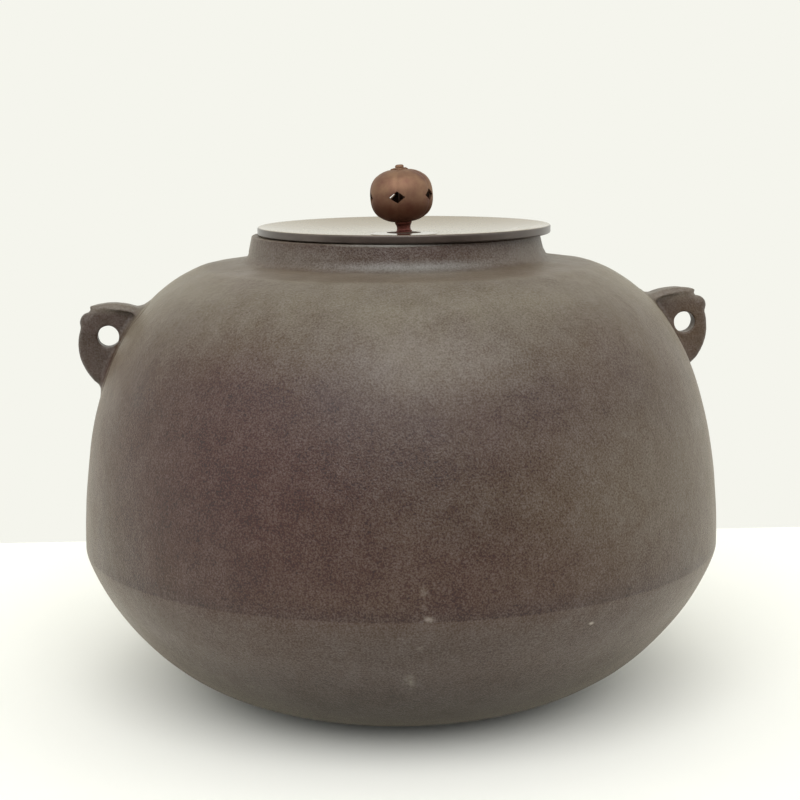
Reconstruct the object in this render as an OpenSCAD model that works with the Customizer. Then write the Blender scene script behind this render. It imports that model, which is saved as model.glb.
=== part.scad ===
// Chagama: a cast iron tea kettle with a scooped bronze lid and a pierced fruit-shaped knob.
// Millimetres, +Z up. The origin is the centre of the base, and the lugs stand on the X axis.

/* [Kettle body] */
// Diameter across the ridge, the widest line of the casting
ridge_d = 260; // [244:1:280]
// Height of the ridge above the base
bowl_h = 62.5; // [55:0.5:75]
// Diameter of the flat base
base_d = 80; // [70:1:100]
// Fullness of the bowl, higher is rounder towards the base
bowl_fullness = 2.5; // [2.2:0.05:3]
// Height above the ridge at which the wall's curve would close
dome_h = 118.7; // [108:0.1:130]
// Fullness of the wall, higher is squarer at the shoulder
dome_fullness = 4.6; // [3.8:0.1:5.4]
// Diameter of the shoulder's crest, where the wall ends
crest_d = 160; // [152:1:172]
// Rise of the ring between the crest and the foot of the neck
crest_rise = 1.8; // [1:0.1:3]
// Diameter of the neck at the mouth
neck_d = 119; // [110:1:126]
// Height of the mouth above the crest
neck_h = 12.1; // [11:0.1:18]
// Flare of the neck from the mouth down to its foot, on the radius
neck_flare = 1.6; // [0:0.1:2.5]
// Radius of the cove at the foot of the neck
cove_r = 4.5; // [3:0.1:7]
// Thickness of the cast wall
wall_t = 3; // [2.4:0.1:4]
// Thickness of the neck
lip_t = 4.5; // [3.6:0.1:6]
// Rounding of the mouth's edges
lip_round = 1; // [0.4:0.1:1.5]

/* [Lugs] */
// Depth of the left lug's middle below the crest
lug_drop = 26.9; // [22:0.1:34]
// How much higher the right lug was set than the left one
right_rise = 1.6; // [-2:0.1:2.5]
// Distance of a lug's middle out from the wall
lug_out = 7.3; // [6.9:0.1:9]
// Diameter of the ring hole
hole_d = 9.2; // [7:0.1:9.6]
// How far in from its lug's middle the left ring hole was bored
left_bore_in = 0.9; // [-1:0.1:1]
// How far out from its lug's middle the right ring hole was bored
right_bore_out = 1.3; // [-0.6:0.1:1.6]
// How far below its lug's middle the right ring hole was bored
right_bore_down = 1.2; // [0:0.1:1.6]
// Thickness of the lug's cheeks, which is the hole's length
cheek_t = 7; // [6:0.2:11]
// Radius of the jaw's outer curve
jaw_r = 20.3; // [19:0.1:24]
// Distance of the jaw's centre in from the lug's middle
jaw_in = 9; // [7:0.2:10]
// Distance of the jaw's centre below the lug's middle
jaw_down = 3.6; // [2:0.2:6]
// Rounding of the jaw's outer edges
jaw_round = 2.2; // [1:0.1:2.8]
// Radius of the brow's arch
brow_r = 30; // [26:1:40]
// Thickness of the brow
brow_t = 2.6; // [2:0.1:4]
// Height of the brow's crest above the lug's middle
brow_up = 13.2; // [12:0.2:16]
// Distance of the brow's crest in from the lug's middle
brow_in = 2.2; // [1.4:0.2:6]
// Distance of the brow's tip out from the lug's middle
brow_out = 6.2; // [5:0.1:9]
// Width of the brow at the wall
brow_w = 15; // [12:0.2:20]
// Width of the brow at its tip
brow_tip_w = 7; // [5:0.2:10]
// Diameter of the round nose under the brow's tip
nose_d = 7.8; // [6:0.1:9]
// Distance of the nose's centre out from the lug's middle
nose_out = 7.2; // [6.5:0.1:9]
// Height of the nose's centre above the lug's middle
nose_up = 5.6; // [4:0.1:7]

/* [Lid] */
// How far the lid's edge stands past the neck
lid_overhang = 0; // [-1:0.1:3]
// Height of the lid's upright edge
edge_h = 3.3; // [2.8:0.1:5]
// Rounding of the upright edge
edge_round = 0.7; // [0.3:0.1:1.2]
// Depth of the scooped top below the edge
dish_depth = 3.6; // [2:0.1:5]
// Thickness of the scooped plate
dish_t = 2.2; // [1.6:0.1:3]
// Play of the locating ring inside the mouth, on the radius
ring_play = 3; // [1:0.1:4]
// Share of that play by which the lid lies off centre, towards the right lug
lid_slack = 0.8; // [0:0.05:0.95]
// Thickness of the locating ring
ring_t = 2.4; // [1.6:0.1:4]
// Depth of the locating ring below the mouth's edge
ring_drop = 4.5; // [3:0.1:8]
// Gap that the uneven edge leaves between lid and mouth
lid_gap = 0.3; // [0.2:0.05:0.6]

/* [Knob] */
// Lean of the riveted knob on its lid, towards the left lug
knob_lean = 3.5; // [0:0.5:5]
// Greatest diameter of the ball
ball_d = 25.6; // [23:0.2:30]
// Height of the ball
ball_h = 21.4; // [19:0.2:22]
// Number of lobes and piercings
lobes = 5; // [5:1:6]
// Thickness of the ball's shell
shell_t = 1.4; // [1:0.1:2]
// Depth of the creases between the lobes
crease_d = 0.5; // [0.2:0.1:0.8]
// Width of the creases at the ball's widest line
crease_w = 1.4; // [0.8:0.1:2]
// Width of a lozenge piercing
pierce_w = 6.2; // [4:0.1:7]
// Height of a lozenge piercing
pierce_h = 4.6; // [3:0.1:6]
// Turn of the first piercing from the front, towards the right lug
pierce_turn = -11; // [-36:1:36]
// Depth of the flats that the collar and the cap sit on
land_t = 0.15; // [0.1:0.05:0.3]
// Diameter of the collar under the ball
collar_d = 7; // [6:0.1:8]
// Diameter of the collar's waist
waist_d = 5.5; // [5:0.1:6]
// Height of the collar with its foot
collar_h = 3.1; // [2.6:0.1:6]
// Diameter of the collar's foot
foot_d = 7.6; // [7.4:0.2:14]
// Thickness of the collar's foot
foot_t = 0.6; // [0.4:0.1:1]
// Diameter of the seat washer on the lid
seat_d = 28; // [24:0.5:32]
// Thickness of the seat washer at its middle
seat_t = 1.2; // [0.8:0.1:2]
// Thickness of the seat washer at its edge
seat_edge_t = 0.5; // [0.3:0.1:0.7]
// Diameter of the cap's points
cap_d = 7.6; // [6:0.1:8]
// Thickness of the cap
cap_t = 0.5; // [0.4:0.1:1]
// Diameter of the stem, a long rivet
stem_d = 2.6; // [2:0.1:3]
// Diameter of the finial on the stem's top
finial_d = 3.5; // [3.4:0.1:4.5]
// Height of the finial
finial_h = 1.3; // [1.1:0.1:3]
// Diameter of the washer under the lid
backing_d = 16; // [12:0.5:22]
// Thickness of the washer under the lid
backing_t = 1.2; // [0.8:0.1:2]
// Diameter of the stem's peened end
peen_d = 5.2; // [4:0.1:7]
// Height of the stem's peened end
peen_h = 1.2; // [0.8:0.1:2]
// Running clearance round the stem, on the radius
run_gap = 0.05; // [0.02:0.01:0.1]
// Clearance above and below the turning knob
end_gap = 0.25; // [0.15:0.05:0.4]

/* [Sounding irons] */
// Number of irons on the bottom
irons = 5; // [3:1:7]
// Distance of the irons from the kettle's axis
iron_ring_r = 23; // [20:0.5:26]
// Length of an iron along its ring
iron_l = 15; // [10:0.5:17]
// Width of an iron
iron_w = 10; // [7:0.5:12]
// Thickness of an iron
iron_t = 1.6; // [1:0.1:3]
// Clipped corner of an iron
iron_clip = 2; // [1:0.1:3]
// Diameter of a lacquer bed
bed_d = 7; // [4:0.5:9]
// Thickness of a lacquer bed
bed_t = 1; // [0.5:0.1:2]

/* [Hidden] */
$fn = 96;
// Steps along the long curves and along small roundings
long_steps = 24;
short_steps = 6;
// How the curves leave the ridge: near 1 gives a corner, 2 gives an upright start
bowl_start = 1.25;
dome_start = 2.09;
// Extra length of a cutting tool past the surfaces that it cuts
cut = 1;

ridge_r = ridge_d / 2;
base_r = base_d / 2;
crest_r = crest_d / 2;
neck_r = neck_d / 2;
mouth_r = neck_r - lip_t;
inner_base_r = base_r - wall_t / 2;
crest_z = bowl_h + dome_height(crest_r, ridge_r, dome_h);
floor_z = crest_z + crest_rise;
mouth_z = crest_z + neck_h;
neck_lean = atan(neck_flare / (mouth_z - floor_z - cove_r));

left_lug_z = crest_z - lug_drop;
right_lug_z = left_lug_z + right_rise;
// Reach of the lug's blank behind its middle, well inside the wall, before it is cut to the wall
lug_root = brow_in + brow_r * sin(42);

lid_r = neck_r + lid_overhang;
edge_z = mouth_z + lid_gap;
edge_top = edge_z + edge_h;
lid_z = edge_top - dish_depth;
ring_r = mouth_r - ring_play;
dish_flat_r = seat_d / 2 + cut;
dish_r = lid_r - edge_round;
stem_hole_r = stem_d / 2 + run_gap;

lid_x = lid_slack * ring_play;
grip = seat_t + dish_t + backing_t;

seat_z = lid_z + seat_t;
// Heights along the rivet's own line, from the top of the seat
foot_s = end_gap + foot_d / 2 * tan(knob_lean);
ball_s = foot_s + collar_h;
cap_s = ball_s + ball_h;
finial_s = cap_s + cap_t + end_gap;
cheek_r = ball_h / 2 + land_t;
cheek_out = ball_d / 2 - cheek_r;
lobe_step = 360 / lobes;
// Angle of the first piercing about the axis, from +X
pierce_at = pierce_turn - 90;

iron_color = "#4c433d";
lug_color = "#40342e";
bronze_color = "#6b5f54";
copper_color = "#6e4a3c";

// Radius of the outer wall at a height above the ridge
function wall_radius(h) = ridge_r * pow(1 - pow(h / dome_h, dome_start), 1 / dome_fullness);

// Height above the ridge of a dome of the wall's form, at a radius
function dome_height(r, across, high) = high * pow(1 - pow(r / across, dome_fullness), 1 / dome_start);

// Bowl from the flat base at 0 degrees up to the ridge at 90
function bowl_point(t, across, flat, bottom) =
    [flat + (across - flat) * pow(sin(t), 2 / bowl_fullness),
     bowl_h - (bowl_h - bottom) * pow(cos(t), 2 / bowl_start)];

function bowl(across, flat, bottom) =
    [for (i = [0:long_steps]) bowl_point(90 * i / long_steps, across, flat, bottom)];

// Wall from just above the ridge in to the crest, evenly spaced along the curve's own angle
function dome(across, high) =
    let (last = acos(pow(crest_r / across, dome_fullness / 2)))
    [for (i = [1:long_steps])
        let (t = last * i / long_steps)
        [across * pow(cos(t), 2 / dome_fullness), bowl_h + high * pow(sin(t), 2 / dome_start)]];

// Points of a round corner, by centre, radius and the angles it runs between
function corner(x, y, r, from, to) =
    [for (i = [0:short_steps])
        let (a = from + (to - from) * i / short_steps)
        [x + r * cos(a), y + r * sin(a)]];

function backwards(list) = [for (i = [len(list) - 1:-1:0]) list[i]];

// Outside of the casting, from the middle of the base to the mouth's edge
outer_profile = concat(
    [[0, 0]],
    bowl(ridge_r, base_r, 0),
    dome(ridge_r, dome_h),
    corner(neck_r + neck_flare + cove_r, floor_z + cove_r, cove_r, 270, 180 + neck_lean),
    corner(neck_r - lip_round, mouth_z - lip_round, lip_round, 0, 90));

// Inside of the casting: the same form, smaller by the wall
inner_profile = concat(
    [[0, wall_t]],
    bowl(ridge_r - wall_t, inner_base_r, wall_t),
    dome(ridge_r - wall_t, dome_h - wall_t),
    corner(mouth_r + lip_round, floor_z - wall_t + lip_round, lip_round, 270, 180),
    corner(mouth_r + lip_round, mouth_z - lip_round, lip_round, 180, 90));

module kettle_body() {
    color(iron_color)
        rotate_extrude()
            polygon(concat(outer_profile, backwards(inner_profile)));
}

// The casting without its hollow, to cut what is seated on the wall
module body_block() {
    rotate_extrude()
        polygon(concat(outer_profile, [[0, mouth_z]]));
}

// A disc about the ring hole's direction with rounded edges
module rounded_disc(r, t, round_r) {
    rotate([90, 0, 0])
        rotate_extrude()
            polygon(concat(
                [[0, -t / 2]],
                corner(r - round_r, round_r - t / 2, round_r, -90, 0),
                corner(r - round_r, t / 2 - round_r, round_r, 0, 90),
                [[0, t / 2]]));
}

// Arched brow: a bent slab that narrows to its tip, with its top edges sloped off
module lug_brow() {
    tip = asin((brow_in + brow_out) / brow_r);
    slope_t = brow_t / 2;
    intersection() {
        rotate([90, 0, 0])
            linear_extrude(2 * brow_w, center = true)
                translate([-brow_in, brow_up - brow_r])
                    polygon(concat(
                        [for (a = [90 - tip:3:132]) brow_r * [cos(a), sin(a)]],
                        [for (a = [132:-3:90 - tip]) (brow_r - brow_t) * [cos(a), sin(a)]]));
        linear_extrude(4 * brow_up, center = true)
            polygon([[brow_out, -brow_tip_w / 2], [brow_out, brow_tip_w / 2],
                     [-lug_root, brow_w / 2 + cut], [-lug_root, -brow_w / 2 - cut]]);
        rotate([90, 0, 90])
            linear_extrude(4 * lug_root, center = true)
                polygon([[-brow_w, -brow_up], [brow_w, -brow_up], [brow_w, brow_up - 2 * slope_t],
                         [brow_w / 4, brow_up], [-brow_w / 4, brow_up], [-brow_w, brow_up - 2 * slope_t]]);
    }
}

// Lug about its middle, +X out from the wall, with a root that runs into the wall
module lug_blank() {
    intersection() {
        translate([-jaw_in, 0, -jaw_down])
            rounded_disc(jaw_r, cheek_t, jaw_round);
        translate([-brow_in, 0, brow_up - brow_r])
            rotate([90, 0, 0])
                cylinder(r = brow_r - brow_t / 2, h = 2 * cheek_t, center = true);
    }
    lug_brow();
    translate([nose_out, 0, nose_up])
        sphere(d = nose_d);
}

// Distance of a lug's middle from the axis at a height
function lug_x(z) = wall_radius(z - bowl_h) + lug_out;

// Lug on the wall at a height, with its hole bored a little out from and below its middle
module lug(z, bore_out, bore_down) {
    difference() {
        translate([lug_x(z), 0, z])
            difference() {
                lug_blank();
                translate([bore_out, 0, -bore_down])
                    rotate([90, 0, 0])
                        cylinder(d = hole_d, h = cheek_t + 2 * cut, center = true);
            }
        body_block();
    }
}

module lug_right() {
    color(lug_color)
        lug(right_lug_z, right_bore_out, right_bore_down);
}

module lug_left() {
    color(lug_color)
        rotate([0, 0, 180])
            lug(left_lug_z, -left_bore_in, 0);
}

// Height of the scooped top at a radius
function dish_height(r) = lid_z + dish_depth * pow(max(0, r - dish_flat_r) / (dish_r - dish_flat_r), 2);

function dish(from, to, below) =
    [for (i = [0:long_steps])
        let (r = from + (to - from) * i / long_steps)
        [r, dish_height(r) - below]];

// Line of the rivet: its start is the top of the seat, and +Z runs up along it
module on_rivet() {
    translate([lid_x, 0, seat_z])
        rotate([0, -knob_lean, 0])
            children();
}

// The rivet's hole through the pieces of the lid
module rivet_hole() {
    on_rivet()
        cylinder(r = stem_hole_r, h = 4 * grip, center = true);
}

module lid_plate() {
    color(bronze_color)
        difference() {
            translate([lid_x, 0, 0])
                rotate_extrude()
                    polygon(concat(
                        [[0, lid_z]],
                        dish(dish_flat_r, dish_r, 0),
                        corner(lid_r - edge_round, edge_top - edge_round, edge_round, 80, 0),
                        corner(lid_r - edge_round, edge_z + edge_round, edge_round, 0, -90),
                        [[ring_r, edge_z], [ring_r, edge_z - ring_drop],
                         [ring_r - ring_t, edge_z - ring_drop]],
                        dish(ring_r - ring_t, dish_flat_r, dish_t),
                        [[0, lid_z - dish_t]]));
            rivet_hole();
        }
}

module lid_backing() {
    edge = backing_t / 3;
    color(copper_color)
        difference() {
            translate([lid_x, 0, lid_z - dish_t])
                rotate_extrude()
                    polygon([[0, 0], [backing_d / 2, 0], [backing_d / 2, edge - backing_t],
                             [backing_d / 2 - edge, -backing_t], [0, -backing_t]]);
            rivet_hole();
        }
}

module knob_seat() {
    flat_r = foot_d / 2 + cut / 2;
    color(bronze_color)
        difference() {
            translate([lid_x, 0, lid_z])
                rotate_extrude()
                    polygon([[0, 0], [seat_d / 2, 0], [seat_d / 2, seat_edge_t],
                             [(seat_d / 2 + flat_r) / 2, seat_t - (seat_t - seat_edge_t) / 4],
                             [flat_r, seat_t], [0, seat_t]]);
            rivet_hole();
        }
}

// Turned collar: a small foot, a waist and a cup under the ball
module knob_collar() {
    waist_s = foot_s + foot_t + collar_h / 4;
    color(copper_color)
        on_rivet()
            rotate_extrude()
                polygon([[stem_hole_r, foot_s], [foot_d / 2, foot_s], [foot_d / 2, foot_s + foot_t / 2],
                         [foot_d / 2 - foot_t / 2, foot_s + foot_t],
                         [waist_d / 2 + foot_t / 2, foot_s + foot_t],
                         [waist_d / 2, waist_s], [collar_d / 2 - foot_t / 4, ball_s - foot_t],
                         [collar_d / 2, ball_s - foot_t / 2], [collar_d / 2, ball_s],
                         [stem_hole_r, ball_s]]);
}

// Section of the hollow ball: a round cheek about a line beside the axis, flat where the collar and cap sit
module ball_section() {
    difference() {
        intersection() {
            translate([cheek_out, 0])
                circle(r = cheek_r);
            translate([stem_hole_r, -ball_h / 2])
                square([ball_d, ball_h]);
        }
        translate([cheek_out, 0])
            circle(r = cheek_r - shell_t);
    }
}

// Groove down one side of the ball, along +X, that runs out above and below
module crease() {
    tip = ball_d / 2 - crease_d;
    rotate([90, 0, 0])
        rotate([0, 0, -90])
            rotate_extrude(angle = 180)
                polygon([[tip, 0], [tip + 4 * crease_d, -2 * crease_w], [tip + 4 * crease_d, 2 * crease_w]]);
}

// Lozenge piercing through one crease, along +X
module piercing() {
    rotate([90, 0, 90])
        linear_extrude(ball_d)
            polygon([[pierce_w / 2, 0], [0, pierce_h / 2], [-pierce_w / 2, 0], [0, -pierce_h / 2]]);
}

module knob_ball() {
    color(copper_color)
        on_rivet()
            translate([0, 0, ball_s + ball_h / 2])
                difference() {
                    rotate_extrude()
                        ball_section();
                    for (i = [0:lobes - 1])
                        rotate([0, 0, pierce_at + lobe_step * i]) {
                            crease();
                            piercing();
                        }
                }
}

// Pointed calyx on the ball
module knob_cap() {
    valley_r = cap_d / 2 * 0.7;
    color(copper_color)
        on_rivet()
            translate([0, 0, cap_s])
                linear_extrude(cap_t)
                    difference() {
                        polygon([for (i = [0:2 * lobes - 1])
                            (i % 2 == 0 ? cap_d / 2 : valley_r)
                                * [cos(pierce_at + lobe_step * i / 2), sin(pierce_at + lobe_step * i / 2)]]);
                        circle(r = stem_hole_r);
                    }
}

// Rivet through the lid and the knob: a finial on top, and a lower end peened flat on the washer
module knob_stem() {
    tip_round = finial_h / 4;
    color(copper_color)
        union() {
            on_rivet()
                rotate_extrude()
                    polygon([[0, -grip - peen_h / 2], [stem_d / 2, -grip - peen_h / 2],
                             [stem_d / 2, finial_s], [finial_d / 2, finial_s],
                             [finial_d / 2, finial_s + finial_h - tip_round],
                             [finial_d / 2 - tip_round, finial_s + finial_h], [0, finial_s + finial_h]]);
            translate([lid_x + grip * tan(knob_lean), 0, seat_z - grip])
                rotate_extrude()
                    polygon([[0, -peen_h], [peen_d / 3, -peen_h], [peen_d / 2, -peen_h / 3],
                             [peen_d / 2, 0], [0, 0]]);
        }
}

// Places a piece on the ring of sounding irons
module on_iron_ring(i) {
    rotate([0, 0, 360 * (i - 0.5) / irons])
        translate([iron_ring_r, 0, wall_t])
            children();
}

module lacquer_bed(i) {
    color("#1d1512")
        on_iron_ring(i)
            cylinder(d1 = bed_d, d2 = bed_d - bed_t, h = bed_t);
}

module sounding_iron(i) {
    half_w = iron_w / 2;
    half_l = iron_l / 2;
    color("#3a332f")
        on_iron_ring(i)
            translate([0, 0, bed_t])
                linear_extrude(iron_t)
                    polygon([[half_w - iron_clip, -half_l], [half_w, iron_clip - half_l],
                             [half_w, half_l - iron_clip], [half_w - iron_clip, half_l],
                             [iron_clip - half_w, half_l], [-half_w, half_l - iron_clip],
                             [-half_w, iron_clip - half_l], [iron_clip - half_w, -half_l]]);
}

kettle_body();
lug_left();
lug_right();
lid_plate();
lid_backing();
knob_seat();
knob_collar();
knob_ball();
knob_cap();
knob_stem();
for (i = [1:irons]) {
    sounding_iron(i);
    lacquer_bed(i);
}
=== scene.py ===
"""Chagama tea kettle: cast iron body with two ring lugs, scooped bronze lid and pierced copper knob.

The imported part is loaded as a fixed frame. Each node is replaced by a finer mesh in the same place, and a
plain studio with the photograph's view is set round it. Lengths in the classes are millimetres.
"""

import logging
import math
from dataclasses import dataclass, field
from enum import Enum
from typing import Any, Callable, Sequence

import bmesh
import bpy
from mathutils import Euler, Matrix, Vector

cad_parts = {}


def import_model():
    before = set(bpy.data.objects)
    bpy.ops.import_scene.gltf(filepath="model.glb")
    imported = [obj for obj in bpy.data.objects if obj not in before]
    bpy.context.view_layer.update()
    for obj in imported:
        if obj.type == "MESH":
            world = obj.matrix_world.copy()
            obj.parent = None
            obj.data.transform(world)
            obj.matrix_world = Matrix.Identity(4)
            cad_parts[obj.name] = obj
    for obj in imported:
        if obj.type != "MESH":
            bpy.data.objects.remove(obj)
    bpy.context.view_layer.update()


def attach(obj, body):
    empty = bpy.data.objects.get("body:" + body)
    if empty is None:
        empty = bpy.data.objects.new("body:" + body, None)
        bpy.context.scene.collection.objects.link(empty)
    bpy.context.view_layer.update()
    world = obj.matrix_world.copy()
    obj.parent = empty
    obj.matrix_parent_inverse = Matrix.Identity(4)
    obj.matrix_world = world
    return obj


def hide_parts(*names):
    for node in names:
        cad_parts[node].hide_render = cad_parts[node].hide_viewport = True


LOG = logging.getLogger("chagama")
MM = 0.001
Point = tuple[float, float]
Place = tuple[float, float, float]
Piece = bpy.types.Object
Finish = bpy.types.Material
Tree = bpy.types.NodeTree
NEAR_WALL = "near_wall"
# Edges flatter than this many degrees are shaded smooth: as a rule, on turned pieces, and on cast ones.
SMOOTH = 40.0
TURNED = 35.0
CAST = 60.0
# Vertices closer than this become one.
WELD = 0.002
# Nearly all of a noise lies between these two values.
NOISE = (0.3, 0.7)
# The left lug's middle lies this far under the crest, and the right one is higher by the second length.
LUG_DROP = 26.9
RIGHT_LUG_RISE = 1.6


class Body(Enum):
    """Bodies of the part that move on their own."""

    KETTLE = "kettle"
    LID = "lid"
    KNOB = "knob"


class Slot(Enum):
    """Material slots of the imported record."""

    KETTLE_IRON = "kettle_iron"
    LUG_IRON = "lug_iron"
    LID_BRONZE = "lid_bronze"
    SEAT_BRONZE = "seat_bronze"
    KNOB_COPPER = "knob_copper"
    LACQUER = "lacquer"


class Side(Enum):
    """The side of the kettle that a lug stands on, as the sign of its X."""

    LEFT = -1
    RIGHT = 1


class Cut(Enum):
    """How one solid acts on another."""

    ADD = "UNION"
    REMOVE = "DIFFERENCE"
    COMMON = "INTERSECT"


# Lines


def arc(centre: Point, radius: float, start: float, stop: float, count: int) -> list[Point]:
    """Points along a circular arc.

    Args:
        centre: Middle of the circle.
        radius: Radius of the circle.
        start: Angle of the first point, in degrees.
        stop: Angle of the last point, in degrees.
        count: Number of steps.

    Returns:
        The points, with both ends.
    """
    angles = [math.radians(start + (stop - start) * i / count) for i in range(count + 1)]
    return [(centre[0] + radius * math.cos(a), centre[1] + radius * math.sin(a)) for a in angles]


def even_steps(line: Sequence[Point], step: float) -> list[Point]:
    """Walks along a line and sets points about a step apart, with its ends kept.

    Args:
        line: Points of the line.
        step: Wanted distance between points.

    Returns:
        Points at equal distances along the line.
    """
    runs = [math.dist(a, b) for a, b in zip(line, line[1:])]
    total = sum(runs)
    count = max(1, round(total / step))
    made, leg, gone = [line[0]], 0, 0.0
    for i in range(1, count):
        goal = total * i / count
        while gone + runs[leg] < goal:
            gone += runs[leg]
            leg += 1
        share = (goal - gone) / runs[leg]
        a, b = line[leg], line[leg + 1]
        made.append((a[0] + (b[0] - a[0]) * share, a[1] + (b[1] - a[1]) * share))
    return made + [line[-1]]


def softened(line: Sequence[Point], rounds: int) -> list[Point]:
    """Rounds off the corners of a line by averaging each point with its neighbours.

    Args:
        line: Points of the line.
        rounds: Number of times to average.

    Returns:
        The rounded line, with its ends kept.
    """
    points = list(line)
    for _ in range(rounds):
        points = [points[0]] + [
            ((a[0] + 2 * b[0] + c[0]) / 4, (a[1] + 2 * b[1] + c[1]) / 4)
            for a, b, c in zip(points, points[1:], points[2:])
        ] + [points[-1]]
    return points


def chain(*lines: Sequence[Point]) -> list[Point]:
    """Joins lines end to end and drops points that repeat.

    Args:
        lines: Lines in order.

    Returns:
        One line.
    """
    made: list[Point] = []
    for point in (p for line in lines for p in line):
        if not made or math.dist(made[-1], point) > 1e-4:
            made.append(point)
    return made


# Work at the bench


def begin(name: str) -> Piece:
    """Names the primitive that was just added and opens it in edit mode with all of it selected.

    Args:
        name: Name of the piece.

    Returns:
        The piece.
    """
    piece = bpy.context.active_object
    piece.name = name
    piece.data.name = name
    bpy.ops.object.mode_set(mode="EDIT")
    bpy.ops.mesh.select_mode(type="VERT")
    bpy.ops.mesh.select_all(action="SELECT")
    return piece


def deselect() -> None:
    """Leaves nothing selected, so that the next operator acts on the new piece alone."""
    bpy.ops.object.select_all(action="DESELECT")


def select_only(piece: Piece) -> None:
    """Makes one piece the only selected and the active object.

    Args:
        piece: Piece in object mode.
    """
    deselect()
    piece.select_set(True)
    bpy.context.view_layer.objects.active = piece


def close(piece: Piece, smooth_below: float = SMOOTH) -> None:
    """Merges doubles, turns the faces outwards, sets the place into the mesh and shades the piece.

    Args:
        piece: Piece that is open in edit mode.
        smooth_below: Edges flatter than this many degrees are shaded smooth.
    """
    bpy.ops.mesh.select_all(action="SELECT")
    bpy.ops.mesh.remove_doubles(threshold=WELD * MM)
    bpy.ops.mesh.normals_make_consistent(inside=False)
    bpy.ops.object.mode_set(mode="OBJECT")
    settle(piece, smooth_below)


def settle(piece: Piece, smooth_below: float = SMOOTH) -> None:
    """Sets an object's place into its mesh and shades it.

    Args:
        piece: Piece in object mode.
        smooth_below: Edges flatter than this many degrees are shaded smooth.
    """
    select_only(piece)
    bpy.ops.object.transform_apply(location=True, rotation=True, scale=True)
    bpy.ops.object.shade_smooth_by_angle(angle=math.radians(smooth_below))


def pick(piece: Piece, test: Callable[[Vector], bool]) -> None:
    """Selects the vertices whose place, in millimetres, passes a test, and the edges and faces between them.

    Args:
        piece: Piece that is open in edit mode.
        test: Says whether a place is wanted.
    """
    bpy.ops.mesh.select_all(action="DESELECT")
    mesh = bmesh.from_edit_mesh(piece.data)
    for vertex in mesh.verts:
        vertex.select = test(piece.matrix_world @ vertex.co / MM)
    mesh.select_flush(True)
    bmesh.update_edit_mesh(piece.data)


def pick_edges(piece: Piece, test: Callable[[Vector, Vector], bool]) -> None:
    """Selects the edges whose two ends, in millimetres, pass a test.

    Args:
        piece: Piece that is open in edit mode.
        test: Says whether an edge between two places is wanted.
    """
    bpy.ops.mesh.select_mode(type="EDGE")
    bpy.ops.mesh.select_all(action="DESELECT")
    mesh = bmesh.from_edit_mesh(piece.data)
    for edge in mesh.edges:
        edge.select_set(test(*(piece.matrix_world @ v.co / MM for v in edge.verts)))
    bmesh.update_edit_mesh(piece.data)


def draw(name: str, line: Sequence[Point]) -> Piece:
    """Extrudes a vertex along a line and leaves the piece open in edit mode with all of it selected.

    Args:
        name: Name of the piece.
        line: Points of X and Z.

    Returns:
        The piece, which is a line of edges.
    """
    deselect()
    bpy.ops.mesh.primitive_plane_add(size=MM)
    piece = begin(name)
    bpy.ops.mesh.merge(type="CENTER")
    bpy.ops.transform.translate(value=(line[0][0] * MM, 0, line[0][1] * MM))
    for a, b in zip(line, line[1:]):
        step = ((b[0] - a[0]) * MM, 0, (b[1] - a[1]) * MM)
        bpy.ops.mesh.extrude_region_move(TRANSFORM_OT_translate={"value": step})
    bpy.ops.mesh.select_all(action="SELECT")
    return piece


def lathe(name: str, line: Sequence[Point], turns: int, smooth_below: float = SMOOTH) -> Piece:
    """Draws a line of radius and height, and spins it about the axis.

    Args:
        name: Name of the piece.
        line: Points of radius and height. Both ends lie on the axis, or the last point repeats the first.
        turns: Number of steps round.
        smooth_below: Edges flatter than this many degrees are shaded smooth.

    Returns:
        The turned piece.
    """
    piece = draw(name, line)
    bpy.ops.mesh.spin(steps=turns, angle=math.tau, use_auto_merge=True, center=(0, 0, 0), axis=(0, 0, 1))
    close(piece, smooth_below)
    return piece


def modify(piece: Piece, kind: str, **settings: Any) -> None:
    """Adds a modifier to a piece, sets it and applies it.

    Args:
        piece: Piece in object mode.
        kind: Blender's name for the modifier.
        settings: Values of the modifier.
    """
    select_only(piece)
    bpy.ops.object.modifier_add(type=kind)
    modifier = piece.modifiers[-1]
    for key, value in settings.items():
        setattr(modifier, key, value)
    bpy.ops.object.modifier_apply(modifier=modifier.name)


def combine(piece: Piece, tool: Piece, cut: Cut, solver: str = "EXACT") -> None:
    """Adds, removes or intersects a second solid, which is used up.

    Args:
        piece: Piece that stays.
        tool: Solid that acts on it.
        cut: How it acts.
        solver: MANIFOLD for clean closed solids, which is quicker, or EXACT.
    """
    modify(piece, "BOOLEAN", object=tool, operation=cut.value, solver=solver)
    bpy.data.objects.remove(tool)


def recast(piece: Piece, voxel: float) -> None:
    """Makes one even skin of small squares, which joins all that overlaps."""
    modify(piece, "REMESH", mode="VOXEL", voxel_size=voxel * MM)


def ease(piece: Piece, width: float, segments: int, sharper: float) -> None:
    """Bevels the edges that turn by more than an angle.

    Args:
        piece: Piece in object mode.
        width: Width of the bevel.
        segments: Steps across it.
        sharper: The angle in degrees.
    """
    modify(piece, "BEVEL", width=width * MM, segments=segments, limit_method="ANGLE",
           angle_limit=math.radians(sharper))


def weigh(piece: Piece, name: str, weight: Callable[[Vector], float]) -> str:
    """Gives each vertex a weight by its place in millimetres.

    Args:
        piece: Piece in object mode.
        name: Name of the vertex group.
        weight: Weight from 0 to 1 at a place.

    Returns:
        The group's name.
    """
    group = piece.vertex_groups.new(name=name)
    for vertex in piece.data.vertices:
        group.add([vertex.index], weight(vertex.co / MM), "REPLACE")
    return group.name


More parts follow.
